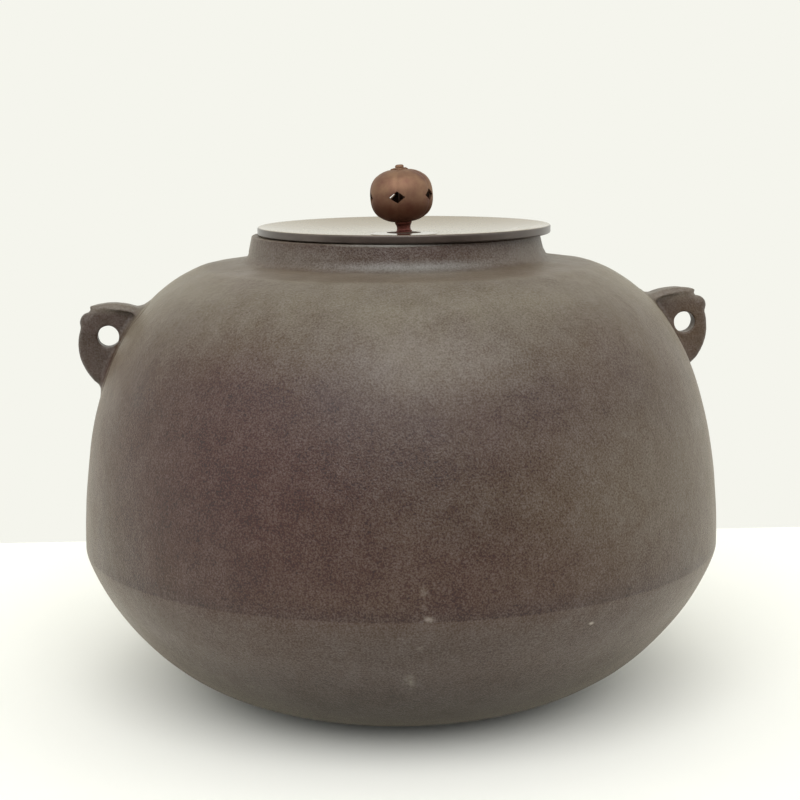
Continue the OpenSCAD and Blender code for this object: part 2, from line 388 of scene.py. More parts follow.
def roughen(piece: Piece, size: float, height: float, group: str = "") -> None:
    """Makes a surface a little uneven, as a hand-made mould leaves it.

    Args:
        piece: Piece in object mode.
        size: Size of the swells, in millimetres.
        height: Height from the lowest to the highest, in millimetres.
        group: Vertex group that limits it, or nothing.
    """
    swell = bpy.data.textures.new(f"{piece.name}_swell", type="CLOUDS")
    swell.noise_scale = size * MM
    swell.noise_depth = 1
    levels = [swell.evaluate(vertex.co)[3] for vertex in piece.data.vertices]
    modify(piece, "DISPLACE", texture=swell, texture_coords="LOCAL", strength=height * MM,
           mid_level=sum(levels) / len(levels), vertex_group=group)


def ramp(value: float, low: float, high: float) -> float:
    """Smooth share of the way from low to high, from 0 to 1."""
    share = min(1.0, max(0.0, (value - low) / (high - low)))
    return share * share * (3 - 2 * share)


def hand_over(piece: Piece, node: str, body: Body) -> None:
    """Lets a finished piece stand for a node and move with its body.

    Args:
        piece: Finished piece.
        node: Node of the frame that it replaces.
        body: Body that it moves with.
    """
    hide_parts(node)
    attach(piece, body.value)
    LOG.info("%s: %d faces for node %s on body %s", piece.name, len(piece.data.polygons), node, body.value)


def paint(piece: Piece, *finishes: Finish, second_on: Callable[[Any], bool] | None = None) -> None:
    """Gives a piece its finishes.

    Args:
        piece: Piece in object mode.
        finishes: The main finish, and a second one if there is one.
        second_on: Says whether a face has the second one.
    """
    piece.data.materials.clear()
    for finish in finishes:
        piece.data.materials.append(finish)
    for face in piece.data.polygons if second_on else ():
        face.material_index = int(second_on(face))


# Materials


def linear(code: str) -> tuple[float, float, float, float]:
    """Turns an sRGB hex colour into linear red, green, blue and alpha.

    Args:
        code: Colour such as #5a4c44.

    Returns:
        The linear colour.
    """
    parts = [int(code[i:i + 2], 16) / 255 for i in (1, 3, 5)]
    r, g, b = (c / 12.92 if c <= 0.04045 else ((c + 0.055) / 1.055) ** 2.4 for c in parts)
    return r, g, b, 1.0


def per_metre(size: float) -> float:
    """Texture scale that makes a pattern's grain this many millimetres."""
    return 1 / (size * MM)


def add_node(tree: Tree, kind: str, inputs: dict[Any, Any] | None = None, **settings: Any) -> Any:
    """Adds a node with its settings and its values or links.

    Args:
        tree: Node tree of the material.
        kind: Blender's name for the node.
        inputs: Value or output socket for each input, by name or number.
        settings: Properties of the node.

    Returns:
        The node.
    """
    node = tree.nodes.new(kind)
    for key, value in settings.items():
        setattr(node, key, value)
    for key, value in (inputs or {}).items():
        if isinstance(value, bpy.types.NodeSocket):
            tree.links.new(value, node.inputs[key])
        else:
            node.inputs[key].default_value = value
    return node


def noise(tree: Tree, place: Any, size: float, detail: float, roughness: float) -> Any:
    """Adds a noise of a real size.

    Args:
        tree: Node tree of the material.
        place: Output with the Object coordinates.
        size: Size of its patches in mm.
        detail: Number of finer layers in it.
        roughness: Share that each finer layer has of the one before.

    Returns:
        Output that runs about from 0.25 to 0.75.
    """
    node = add_node(tree, "ShaderNodeTexNoise",
                    {"Vector": place, "Scale": per_metre(size), "Detail": detail, "Roughness": roughness})
    return node.outputs["Fac"]


def spread(tree: Tree, value: Any, low: float, high: float, least: float = 0.0, most: float = 1.0,
           kind: str = "LINEAR") -> Any:
    """Turns one range of a value into another, and holds it at the ends.

    Args:
        tree: Node tree of the material.
        value: Output to turn.
        low: Value that becomes the least.
        high: Value that becomes the most.
        least: Result at the low end.
        most: Result at the high end.
        kind: LINEAR, or SMOOTHSTEP to ease both ends.

    Returns:
        Output with the result.
    """
    node = add_node(tree, "ShaderNodeMapRange",
                    {"Value": value, "From Min": low, "From Max": high, "To Min": least, "To Max": most},
                    interpolation_type=kind)
    return node.outputs["Result"]


def reckon(tree: Tree, operation: str, *values: Any) -> Any:
    """Adds a math node for some values, and gives its output."""
    return add_node(tree, "ShaderNodeMath", dict(enumerate(values)), operation=operation).outputs[0]


def product(tree: Tree, first: Any, *others: Any) -> Any:
    """Multiplies outputs.

    Args:
        tree: Node tree of the material.
        first: First output.
        others: Further outputs.

    Returns:
        Output with the product.
    """
    for other in others:
        first = reckon(tree, "MULTIPLY", first, other)
    return first


def blend(tree: Tree, share: Any, under: Any, over: Any) -> Any:
    """Lays one colour over another.

    Args:
        tree: Node tree of the material.
        share: Output with the share of the upper colour.
        under: Lower colour.
        over: Upper colour.

    Returns:
        Output with the blend.
    """
    return add_node(tree, "ShaderNodeMix", {0: share, 6: under, 7: over}, data_type="RGBA").outputs[2]


def new_material(name: str) -> tuple[Finish, Tree]:
    """Makes an empty material.

    Args:
        name: Name of the material.

    Returns:
        The material and its node tree.
    """
    material = bpy.data.materials.new(name)
    material.use_nodes = True
    material.node_tree.nodes.clear()
    return material, material.node_tree


@dataclass(frozen=True)
class Mark:
    """A spot on the front wall: its middle and half sizes across and up, its strength and its colour."""

    x: float
    z: float
    half_w: float
    half_h: float
    strength: float
    code: str


@dataclass(frozen=True)
class SandCastIron:
    """Cast iron from a clay and sand mould, with a rubbed brown finish of lacquer and iron stain.

    The eye sees a matt, finely gritty skin. The browns drift between grey and rust over hand-sized areas,
    and the skin turns paler at a flat angle, because each grain catches the bright room.
    """

    name: str = "sand_cast_iron"
    dark: str = "#3d2b20"
    warm: str = "#43281e"
    grey: str = "#48382b"
    # Pale dust colour, which also stands for painted light on surfaces that face up.
    dust_and_toplight: str = "#716a5c"
    # The real grit is near 0.4 mm; it is drawn coarser so that it shows in a small picture.
    grit: float = 0.65
    pit: float = 3.2
    cloud: float = 46.0
    drift_share: float = 0.45
    roughness: Point = (0.36, 0.48)
    # Grains are lighter or darker than the skin by up to this much, as linear colour.
    speckle: float = 0.046
    mottle: float = 9.0
    mottle_depth: float = 0.013
    grit_height: float = 0.2
    pit_height: float = 0.15
    ior: float = 1.5
    sheen: float = 0.05
    sheen_roughness: float = 0.38
    sheen_tint: str = "#f1e6cc"
    # Values of the noises between which rust, grey, pale dust with painted light from above, and crusts come
    # in.
    warm_range: Point = (0.42, 0.8)
    grey_range: Point = (0.32, 0.78)
    dust_and_toplight_range: Point = (0.3, 0.6)
    crust_range: Point = (0.38, 0.58)
    # Pale dust, partly painted light from above: it grows between the first two heights and fades out by the
    # third.
    dust_and_toplight_from: float = 0.0
    dust_and_toplight_to: float = 0.0
    dust_and_toplight_end: float = 1000.0
    dust_and_toplight_share: float = 0.75
    # The pale dust and painted light from above stop at the shoulder's crest; only this share lies inside
    # that radius, as painted shade in the cove.
    dust_and_toplight_r: float = 0.0
    dust_and_toplight_inside: float = 1.0
    dust_and_toplight_soft: float = 1.5
    # Share of the pale dust and painted light where it is thinnest.
    dust_and_toplight_patch: float = 0.6
    # Painted shade: the bowl darkens from the first height down to the second, as it faces down into its own
    # shadow on the table.
    bottom_shade: str = "#190f0c"
    bottom_shade_from: float = 0.0
    bottom_shade_to: float = 12.0
    bottom_shade_share: float = 0.0
    bottom_shade_rough: float = 0.45
    ridge_z: float = 0.0
    # Painted shade in a band above the ridge, and a greyer colour with painted light from the table below
    # it.
    ridge_shade: str = "#33201b"
    ridge_shade_high: float = 7.0
    ridge_soft: float = 0.3
    ridge_shade_share: float = 0.0
    grey_and_bounce: str = "#5c564c"
    grey_and_bounce_share: float = 0.0
    # Marks lie on the front and fade out over this depth on each side of the axis.
    front_soft: float = 25.0
    # Marks on the front wall: stains, and some painted light and shade.
    stains_and_light: tuple[Mark, ...] = ()
    streaks: tuple[Mark, ...] = ()

    def spot(self, tree: Tree, axes: Any, mark: Mark) -> Any:
        """Soft oval on the front wall.

        Args:
            tree: Node tree of the material.
            axes: Separate XYZ node of the Object coordinates.
            mark: Place and size of the oval.

        Returns:
            Output that is the mark's strength in its middle and 0 outside.
        """
        offs = []
        for axis, middle, half in (("X", mark.x, mark.half_w), ("Z", mark.z, mark.half_h)):
            off = reckon(tree, "SUBTRACT", axes.outputs[axis], middle * MM)
            offs.append(reckon(tree, "DIVIDE", off, half * MM))
        away = add_node(tree, "ShaderNodeCombineXYZ", {"X": offs[0], "Y": offs[1]})
        far = add_node(tree, "ShaderNodeVectorMath", {0: away.outputs[0]}, operation="LENGTH")
        oval = spread(tree, far.outputs["Value"], 1.0, 0.0, 0.0, mark.strength, "SMOOTHSTEP")
        front = spread(tree, axes.outputs["Y"], self.front_soft * MM, -self.front_soft * MM)
        return product(tree, oval, front)

    def drift(self, tree: Tree, place: Any) -> Any:
        """The slow change from one hand-sized area to the next."""
        return noise(tree, place, self.cloud * self.drift_share, 4.0, 0.6)

    def bottom_shading(self, tree: Tree, height: Any) -> Any:
        """Share of the painted shade that darkens the bowl, which grows down to the base."""
        return spread(tree, height, self.bottom_shade_from * MM, self.bottom_shade_to * MM, 0.0, self.bottom_shade_share)

    def colour(self, tree: Tree, place: Any) -> Any:
        """Draws the skin's colour without its grains.

        Args:
            tree: Node tree of the material.
            place: Output with the Object coordinates.

        Returns:
            Output with the colour.
        """
        axes = add_node(tree, "ShaderNodeSeparateXYZ", {0: place})
        height = axes.outputs["Z"]
        drift = self.drift(tree, place)
        warmth = spread(tree, noise(tree, place, self.cloud, 5.0, 0.55), *self.warm_range)
        colour = blend(tree, warmth, linear(self.dark), linear(self.warm))
        colour = blend(tree, spread(tree, drift, *self.grey_range), colour, linear(self.grey))
        if self.grey_and_bounce_share:
            # Painted shade darkens the wall down to the ridge; under it the skin is greyer and carries
            # painted light thrown up from the table, most of all next to the ridge.
            ridge = self.ridge_z * MM
            above = spread(tree, height, ridge + self.ridge_shade_high * MM, ridge, 0.0, self.ridge_shade_share)
            colour = blend(tree, above, colour, linear(self.ridge_shade))
            under = spread(tree, height, ridge + self.ridge_soft * MM, ridge - self.ridge_soft * MM)
            amount = spread(tree, height, ridge / 3, ridge, self.grey_and_bounce_share / 2, self.grey_and_bounce_share)
            colour = blend(tree, product(tree, under, amount), colour, linear(self.grey_and_bounce))
        # Painted shade that darkens the bowl towards its base.
        if self.bottom_shade_share:
            colour = blend(tree, self.bottom_shading(tree, height), colour, linear(self.bottom_shade))
        # Pale dust, partly painted light: upper surfaces turn paler where light from above falls, and less
        # so inside the crest, as painted shade in the cove.
        if self.dust_and_toplight_to > self.dust_and_toplight_from:
            level = add_node(tree, "ShaderNodeCombineXYZ", {"X": axes.outputs["X"], "Y": axes.outputs["Y"]})
            across = add_node(tree, "ShaderNodeVectorMath", {0: level.outputs[0]}, operation="LENGTH")
            dust_and_toplight_mask = product(
                tree, spread(tree, height, self.dust_and_toplight_from * MM, self.dust_and_toplight_to * MM, 0.0, self.dust_and_toplight_share),
                spread(tree, drift, *self.dust_and_toplight_range, self.dust_and_toplight_patch),
                spread(tree, height, self.dust_and_toplight_end * MM, self.dust_and_toplight_to * MM),
                spread(tree, across.outputs["Value"], (self.dust_and_toplight_r - self.dust_and_toplight_soft) * MM,
                       (self.dust_and_toplight_r + self.dust_and_toplight_soft) * MM, self.dust_and_toplight_inside))
            colour = blend(tree, dust_and_toplight_mask, colour, linear(self.dust_and_toplight))
        for mark in self.stains_and_light:
            colour = blend(tree, self.spot(tree, axes, mark), colour, linear(mark.code))
        return colour

    def make(self, wall: "SandCastIron | None" = None) -> Finish:
        """Builds the material.

        Args:
            wall: Finish of the wall, for a piece whose attribute says where it runs into the wall.

        Returns:
            The material.
        """
        material, tree = new_material(self.name)
        place = add_node(tree, "ShaderNodeTexCoord").outputs["Object"]
        axes = add_node(tree, "ShaderNodeSeparateXYZ", {0: place})
        grit = noise(tree, place, self.grit, 3.0, 0.6)
        pit = noise(tree, place, self.pit, 2.0, 0.5)
        colour = self.colour(tree, place)
        if wall:
            near = add_node(tree, "ShaderNodeAttribute", attribute_name=NEAR_WALL).outputs["Fac"]
            colour = blend(tree, near, colour, wall.colour(tree, place))
        for mark in self.streaks:
            crust = product(tree, self.spot(tree, axes, mark), spread(tree, pit, *self.crust_range))
            colour = blend(tree, crust, colour, linear(mark.code))
        mottle = noise(tree, place, self.mottle, 2.0, 0.7)
        patch = spread(tree, mottle, *NOISE, -self.mottle_depth, self.mottle_depth)
        grains = reckon(tree, "ADD", spread(tree, grit, *NOISE, -self.speckle, self.speckle), patch)
        colour = add_node(tree, "ShaderNodeVectorMath", {0: colour, 1: grains}, operation="ADD")
        # No grain is darker than the colour of the painted shade at the base.
        colour = add_node(tree, "ShaderNodeVectorMath", {0: colour.outputs[0], 1: linear(self.bottom_shade)[:3]},
                          operation="MAXIMUM")
        rough = spread(tree, self.drift(tree, place), *NOISE, *self.roughness)
        # Where the shade is painted at the base, the skin is also rougher.
        if self.bottom_shade_share:
            bottom_shading = self.bottom_shading(tree, axes.outputs["Z"])
            rough = reckon(tree, "MULTIPLY_ADD", bottom_shading, self.bottom_shade_rough, rough)
        pitted = add_node(tree, "ShaderNodeBump",
                          {"Height": pit, "Strength": 1.0, "Distance": self.pit_height * MM})
        gritty = add_node(tree, "ShaderNodeBump",
                          {"Height": grit, "Strength": 1.0, "Distance": self.grit_height * MM,
                           "Normal": pitted.outputs["Normal"]})
        skin = add_node(tree, "ShaderNodeBsdfPrincipled",
                        {"Base Color": colour.outputs[0], "Roughness": rough, "IOR": self.ior,
                         "Sheen Weight": self.sheen, "Sheen Roughness": self.sheen_roughness,
                         "Sheen Tint": linear(self.sheen_tint), "Normal": gritty.outputs["Normal"]})
        add_node(tree, "ShaderNodeOutputMaterial", {"Surface": skin.outputs["BSDF"]})
        return material


@dataclass(frozen=True)
class SatinBronze:
    """Cast bronze or copper, turned and rubbed smooth, with a brown patina.

    The eye sees a metal with a soft satin gloss that mirrors the bright room at a flat angle and stays dark
    where it faces the dim side. The patina is a little uneven, with very fine marks of the rubbing in it.
    """

    name: str
    deep: str
    pale: str
    roughness: Point
    cloud: float = 14.0
    tone_range: Point = (0.35, 0.65)
    # Marks of about 0.15 mm, drawn at 0.5 mm so that they show.
    grain: float = 0.5
    grain_height: float = 0.012
    metallic: float = 1.0
    coat: float = 0.0
    coat_roughness: float = 0.12
    flat_tint: str = "#ffffff"
    # Below the first height the metal turns this dark tint, painted shade and reflection of the dark lid
    # under the ball; above the second it is the plain one.
    low: str = "#4a2a20"
    lower_shade_z: Point = (0.0, 0.0)
    lower_shade_share: float = 0.0

    def make(self) -> Finish:
        """Builds the material.

        Returns:
            The material.
        """
        material, tree = new_material(self.name)
        place = add_node(tree, "ShaderNodeTexCoord").outputs["Object"]
        cloud = noise(tree, place, self.cloud, 5.0, 0.6)
        tone = blend(tree, spread(tree, cloud, *self.tone_range), linear(self.deep), linear(self.pale))
        # Painted shade: the metal darkens towards the underside.
        if self.lower_shade_share:
            height = add_node(tree, "ShaderNodeSeparateXYZ", {0: place}).outputs["Z"]
            top, foot = self.lower_shade_z[1] * MM, self.lower_shade_z[0] * MM
            under = spread(tree, height, top, foot, 0.0, self.lower_shade_share, "SMOOTHSTEP")
            tone = blend(tree, under, tone, linear(self.low))
        bump = add_node(tree, "ShaderNodeBump", {"Height": noise(tree, place, self.grain, 2.0, 0.5),
                                                 "Strength": 1.0, "Distance": self.grain_height * MM})
        metal = add_node(tree, "ShaderNodeBsdfPrincipled",
                         {"Base Color": tone, "Metallic": self.metallic,
                          "Roughness": spread(tree, cloud, *NOISE, *self.roughness),
                          "Normal": bump.outputs["Normal"], "Specular Tint": linear(self.flat_tint),
                          "Coat Weight": self.coat, "Coat Roughness": self.coat_roughness})
        add_node(tree, "ShaderNodeOutputMaterial", {"Surface": metal.outputs["BSDF"]})
        return material


@dataclass(frozen=True)
class Lacquer:
    """Black-brown tree lacquer mixed with iron filings, set in a lump.

    The eye sees a dark glossy bead with a slightly wrinkled skin.
    """

    name: str = "lacquer_bead"
    dark: str = "#1c1310"
    light: str = "#35241d"
    wrinkle: float = 1.2
    wrinkle_height: float = 0.1
    roughness: float = 0.3

    def make(self) -> Finish:
        """Builds the material.

        Returns:
            The material.
        """
        material, tree = new_material(self.name)
        place = add_node(tree, "ShaderNodeTexCoord").outputs["Object"]
        fold = noise(tree, place, self.wrinkle, 3.0, 0.5)
        tone = blend(tree, fold, linear(self.dark), linear(self.light))
        bump = add_node(tree, "ShaderNodeBump",
                        {"Height": fold, "Strength": 1.0, "Distance": self.wrinkle_height * MM})
        bead = add_node(tree, "ShaderNodeBsdfPrincipled",
                        {"Base Color": tone, "Roughness": self.roughness, "Normal": bump.outputs["Normal"]})
        add_node(tree, "ShaderNodeOutputMaterial", {"Surface": bead.outputs["BSDF"]})
        return material


# Pieces


@dataclass
class KettleCasting:
    """The body: bowl, ridge, rounded wall, shoulder, coved neck and open mouth."""

    ridge_r: float = 130.0
    bowl_h: float = 62.5
    base_r: float = 40.0
    bowl_fullness: float = 2.5
    bowl_start: float = 1.25
    dome_h: float = 118.7
    dome_fullness: float = 4.6
    dome_start: float = 2.09
    crest_r: float = 80.0
    crest_rise: float = 1.8
    neck_r: float = 58.6
    neck_h: float = 12.1
    neck_flare: float = 1.2
    neck_off: float = 1.0
    cove_r: float = 4.5
    wall: float = 3.0
    lip: float = 3.6
    lip_round: float = 0.6
    ridge_round: float = 0.5
    turns: int = 320
    fine: int = 400
    row: float = 1.8
    inner_row: float = 4.0
    flat_row: float = 5.0
    neck_row: float = 1.5
    # Rows are closer than elsewhere from this far under the crest up.
    crest_row: float = 1.1
    crest_band: float = 8.0
    smooth_below: float = 16.0
    # Heights over the crest above which the outside is moved a quarter of the neck's offset further.
    neck_steps: tuple[float, ...] = (0.8, 2.4, 4.0, 5.6)
    # Size and height of the swells in the skin. They fade out at the base and are weak at the mouth.
    swells: tuple[Point, ...] = ((55.0, 0.7), (13.0, 0.3))
    base_fade: Point = (1.5, 14.0)
    mouth_fade: Point = (9.0, 1.0)
    mouth_calm: float = 0.85
    block_rows: Point = (4.0, 2.0)
    block_turns: int = 240

    @property
    def crest_z(self) -> float:
        """Height of the shoulder's crest."""
        return self.bowl_h + self.dome_h * (1 - (self.crest_r / self.ridge_r) ** self.dome_fullness) ** (
            1 / self.dome_start)

    @property
    def mouth_z(self) -> float:
        """Height of the mouth."""
        return self.crest_z + self.neck_h

    @property
    def mouth_r(self) -> float:
        """Radius of the mouth's opening."""
        return self.neck_r - self.lip

    def wall_radius(self, z: float) -> float:
        """Radius of the outer wall at a height above the ridge."""
        share = 1 - ((z - self.bowl_h) / self.dome_h) ** self.dome_start
        return self.ridge_r * share ** (1 / self.dome_fullness)

    def bowl(self, inset: float) -> list[Point]:
        """Bowl from its flat base up to the ridge.

        Args:
            inset: Distance in from the outer skin.

        Returns:
            Points of the bowl.
        """
        flat = self.base_r - inset / 2
        reach = self.ridge_r - inset - flat
        angles = [math.pi / 2 * i / self.fine for i in range(self.fine + 1)]
        return [(flat + reach * math.sin(a) ** (2 / self.bowl_fullness),
                 self.bowl_h - (self.bowl_h - inset) * max(0.0, math.cos(a)) ** (2 / self.bowl_start))
                for a in angles]

    def dome(self, inset: float) -> list[Point]:
        """Wall from the ridge up to the shoulder's crest.

        Args:
            inset: Distance in from the outer skin.

        Returns:
            Points of the wall.
        """
        across, high = self.ridge_r - inset, self.dome_h - inset
        last = math.acos((self.crest_r / across) ** (self.dome_fullness / 2))
        angles = [last * i / self.fine for i in range(self.fine + 1)]
        return [(across * math.cos(a) ** (2 / self.dome_fullness),
                 self.bowl_h + high * math.sin(a) ** (2 / self.dome_start)) for a in angles]

    def outside(self) -> list[Point]:
        """Outer line from the middle of the base to the top of the mouth's edge.

        Returns:
            Points of radius and height.
        """
        floor_z = self.crest_z + self.crest_rise
        foot_r = self.neck_r + self.neck_flare + self.cove_r
        lean = math.degrees(math.atan(self.neck_flare / (self.mouth_z - floor_z - self.cove_r)))
        cove = arc((foot_r, floor_z + self.cove_r), self.cove_r, 270, 180 + lean, 16)
        shoulder = chain(self.dome(0), cove, [(self.neck_r, self.mouth_z - self.lip_round)])
        shoulder = softened(even_steps(shoulder, 1.0), 2)
        lower = [p for p in shoulder if p[1] < self.crest_z - self.crest_band]
        upper = [p for p in shoulder if p[1] >= self.crest_z - self.crest_band]
        rim = arc((self.neck_r - self.lip_round, self.mouth_z - self.lip_round), self.lip_round, 0, 90, 8)
        base = even_steps([(0.0, 0.0), (self.base_r, 0.0)], self.flat_row)
        return chain(base, even_steps(self.bowl(0), self.row), even_steps(lower, self.row),
                     even_steps(upper, self.crest_row), rim)

    def inside(self) -> list[Point]:
        """Inner line from the middle of the hollow's floor to the mouth's edge.

        Returns:
            Points of radius and height.
        """
        roof_z = self.crest_z + self.crest_rise - self.wall
        bend = arc((self.mouth_r + self.lip_round, roof_z + self.lip_round), self.lip_round, 270, 180, 8)
        rim = arc((self.mouth_r + self.lip_round, self.mouth_z - self.lip_round), self.lip_round, 180, 90, 8)
        floor = even_steps([(0.0, self.wall), (self.base_r - self.wall / 2, self.wall)], self.flat_row)
        return chain(floor, even_steps(self.bowl(self.wall), self.inner_row),
                     even_steps(self.dome(self.wall), self.inner_row), bend,
                     even_steps([bend[-1], rim[0]], self.neck_row), rim)

    def block(self, inset: float) -> Piece:
        """The casting's outer form as one solid, to trim what is seated on it.

        Args:
            inset: Distance of its skin inside the real one.

        Returns:
            The solid.
        """
        line = chain([(0.0, 0.0)], even_steps(self.bowl(inset), self.block_rows[0]),
                     even_steps(self.dome(inset), self.block_rows[1]), [(0.0, self.crest_z)])
        return lathe("block", line, self.block_turns)

    def build(self, skin: Finish, hollow: Finish) -> None:
        """Turns the casting, makes its skin uneven and finishes it outside and inside.

        Args:
            skin: Finish of the outside.
            hollow: Finish of the inside.
        """
        line = chain(self.outside(), list(reversed(self.inside())))
        piece = lathe("kettle_casting", line, self.turns, self.smooth_below)
        bpy.ops.object.mode_set(mode="EDIT")
        pick_edges(piece, lambda a, b: max(abs(p.z - self.bowl_h) for p in (a, b)) < 0.05
                   and math.hypot(a.x, a.y) > self.ridge_r - 0.5)
        bpy.ops.mesh.bevel(offset=self.ridge_round * MM, segments=2, affect="EDGES")
        for up in self.neck_steps:
            pick(piece, lambda place: place.z > self.crest_z + up
                 and math.hypot(place.x, place.y) > self.mouth_r + self.lip / 2)
            bpy.ops.transform.translate(value=(-self.neck_off / len(self.neck_steps) * MM, 0, 0))
        bpy.ops.object.mode_set(mode="OBJECT")

        def free(place: Vector) -> float:
            """Share of the unevenness: none on the base, and little at the mouth."""
            calm = ramp(place.z, *(self.mouth_z - under for under in self.mouth_fade))
            return ramp(place.z, *self.base_fade) * (1 - self.mouth_calm * calm)

        group = weigh(piece, "uneven", free)
        for size, height in self.swells:
            roughen(piece, size, height, group)
        middle = Vector((0, 0, self.bowl_h * MM))
        paint(piece, skin, hollow, second_on=lambda face: face.normal.dot(face.center - middle) < 0)
        hand_over(piece, "kettle_body", Body.KETTLE)


@dataclass
class RingLug:
    """A lug cast with the wall: arched brow, round nose under its tip, and jaw round the ring's hole."""

    casting: KettleCasting
    side: Side
    middle_z: float
    bore_out: float = 0.0
    bore_down: float = 0.0
    nose_out: float = 7.2
    brow_in: float = 4.0
    middle_out: float = 7.3
    # A little under the hole's 9.2 mm, because melting the edges widens it.
    bore_d: float = 8.8
    cheek_t: float = 7.0
    jaw_r: float = 20.3
    jaw_in: float = 9.0
    jaw_down: float = 3.6
    jaw_round: float = 2.2
    brow_r: float = 30.0
    brow_t: float = 2.6
    brow_tip_t: float = 1.0
    brow_up: float = 13.3
    brow_out: float = 6.2
    brow_slope: float = 0.62
    brow_w: float = 15.0
    brow_tip_w: float = 7.0
    # The brow widens by this much at its root, and thins to its tip over the first rows of its arch.
    brow_spread: float = 2.0
    brow_rows: int = 24
    brow_thin_rows: int = 8
    brow_back: float = 132.0
    brow_ease: float = 0.25
    nose_d: float = 7.8
    nose_shape: Place = (1.0, 0.9, 1.04)
    nose_up: float = 5.6
    root: float = 24.0
    sunk: float = 1.0
    voxel: float = 0.4
    # Size and height of the swells in the skin.
    swells: tuple[Point, ...] = ((6.0, 0.3), (2.2, 0.16))
    # Width along the wall and height off the wall of each step of the fillet.
    fillet_steps: tuple[Point, ...] = ((0.6, 1.6), (1.4, 0.9), (2.6, 0.5), (4.2, 0.22))
    # Up to this height off the wall the metal has the wall's finish; up to the next it drifts to the lug's.
    wall_skin: float = 0.8
    tint_reach: float = 2.8

    def disc(self, name: str, radius: float, thick: float, place: Place) -> Piece:
        """A disc that faces along the hole.

        Args:
            name: Name of the disc.
            radius: Its radius.
            thick: Its thickness.
            place: Its middle, from the lug's middle.

        Returns:
            The disc.
        """
        deselect()
        bpy.ops.mesh.primitive_cylinder_add(vertices=96, radius=radius * MM, depth=thick * MM,
                                            location=[c * MM for c in place], rotation=(math.pi / 2, 0, 0))
        return begin(name)

    def jaw(self) -> Piece:
        """The rounded cheek under the brow.

        Returns:
            The cheek.
        """
        piece = self.disc("jaw", self.jaw_r, self.cheek_t, (-self.jaw_in, 0, -self.jaw_down))
        pick_edges(piece, lambda a, b: abs(a.y - b.y) < 0.1)
        bpy.ops.mesh.bevel(offset=self.jaw_round * MM, segments=5, affect="EDGES")
        close(piece)
        under = self.disc("under_brow", self.brow_r - self.brow_tip_t / 2, 3 * self.cheek_t,
                          (-self.brow_in, 0, self.brow_up - self.brow_r))
        close(under)
        combine(piece, under, Cut.COMMON)
        return piece

    def brow(self) -> Piece:
        """The arched brow: a strip extruded along its arch, tapered to the tip, thickened and bevelled.

        Returns:
            The brow.
        """
        tip = math.degrees(math.asin((self.brow_in + self.brow_out) / self.brow_r))
        middle = (-self.brow_in, self.brow_up - self.brow_r)
        line = arc(middle, self.brow_r, 90 - tip, self.brow_back, self.brow_rows)
        piece = draw("brow", line)
        bpy.ops.transform.translate(value=(0, -self.brow_w / 2 * MM, 0))
        bpy.ops.mesh.extrude_region_move(TRANSFORM_OT_translate={"value": (0, self.brow_w * MM, 0)})
        far, near = -self.root, self.brow_out
        for x, z in line:
            share = (x - far) / (near - far)
            narrow = ((1 - share) * (self.brow_w + self.brow_spread) + share * self.brow_tip_w) / self.brow_w
            pick(piece, lambda place, x=x, z=z: abs(place.x - x) < 0.01 and abs(place.z - z) < 0.01)
            bpy.ops.transform.resize(value=(1, narrow, 1), center_override=(x * MM, 0, z * MM))
        close(piece)
        modify(piece, "SOLIDIFY", thickness=self.brow_t * MM, offset=1.0 if self.faces_down(piece) else -1.0)
        bpy.ops.object.mode_set(mode="EDIT")
        lower = self.brow_r - self.brow_t
        hub = (middle[0] * MM, 0, middle[1] * MM)
        for i, (x, z) in enumerate(line[:self.brow_thin_rows]):
            place_x = middle[0] + (x - middle[0]) * lower / self.brow_r
            place_z = middle[1] + (z - middle[1]) * lower / self.brow_r
            pick(piece, lambda place: math.hypot(place.x - place_x, place.z - place_z) < 0.2)
            thick = self.brow_tip_t + (self.brow_t - self.brow_tip_t) * i / self.brow_thin_rows
            scale = (self.brow_r - thick) / lower
            bpy.ops.transform.resize(value=(scale, 1, scale), center_override=hub)
        pick(piece, lambda place: math.hypot(place.x - middle[0], place.z - middle[1])
             > self.brow_r - self.brow_t / 2)
        bpy.ops.transform.resize(value=(1, self.brow_slope, 1), center_override=(0, 0, 0))
        close(piece)
        ease(piece, self.brow_ease, 2, 35)
        return piece

    def fillet(self, piece: Piece) -> None:
        """Adds the metal that runs into the corner between lug and wall, in thin steps to smooth later.

        Args:
            piece: The lug in its place.
        """
        form = piece.data.copy()
        for wide, high in self.fillet_steps:
            skirt = bpy.data.objects.new("skirt", form.copy())
            bpy.context.scene.collection.objects.link(skirt)
            modify(skirt, "DISPLACE", strength=wide * MM, mid_level=0.0)
            recast(skirt, self.voxel)
            combine(skirt, self.casting.block(-high), Cut.COMMON, "MANIFOLD")
            combine(piece, skirt, Cut.ADD, "MANIFOLD")
            recast(piece, self.voxel)

    @staticmethod
    def faces_down(piece: Piece) -> bool:
        """Says whether a strip's faces look down."""
        return sum(face.normal.z for face in piece.data.polygons) < 0

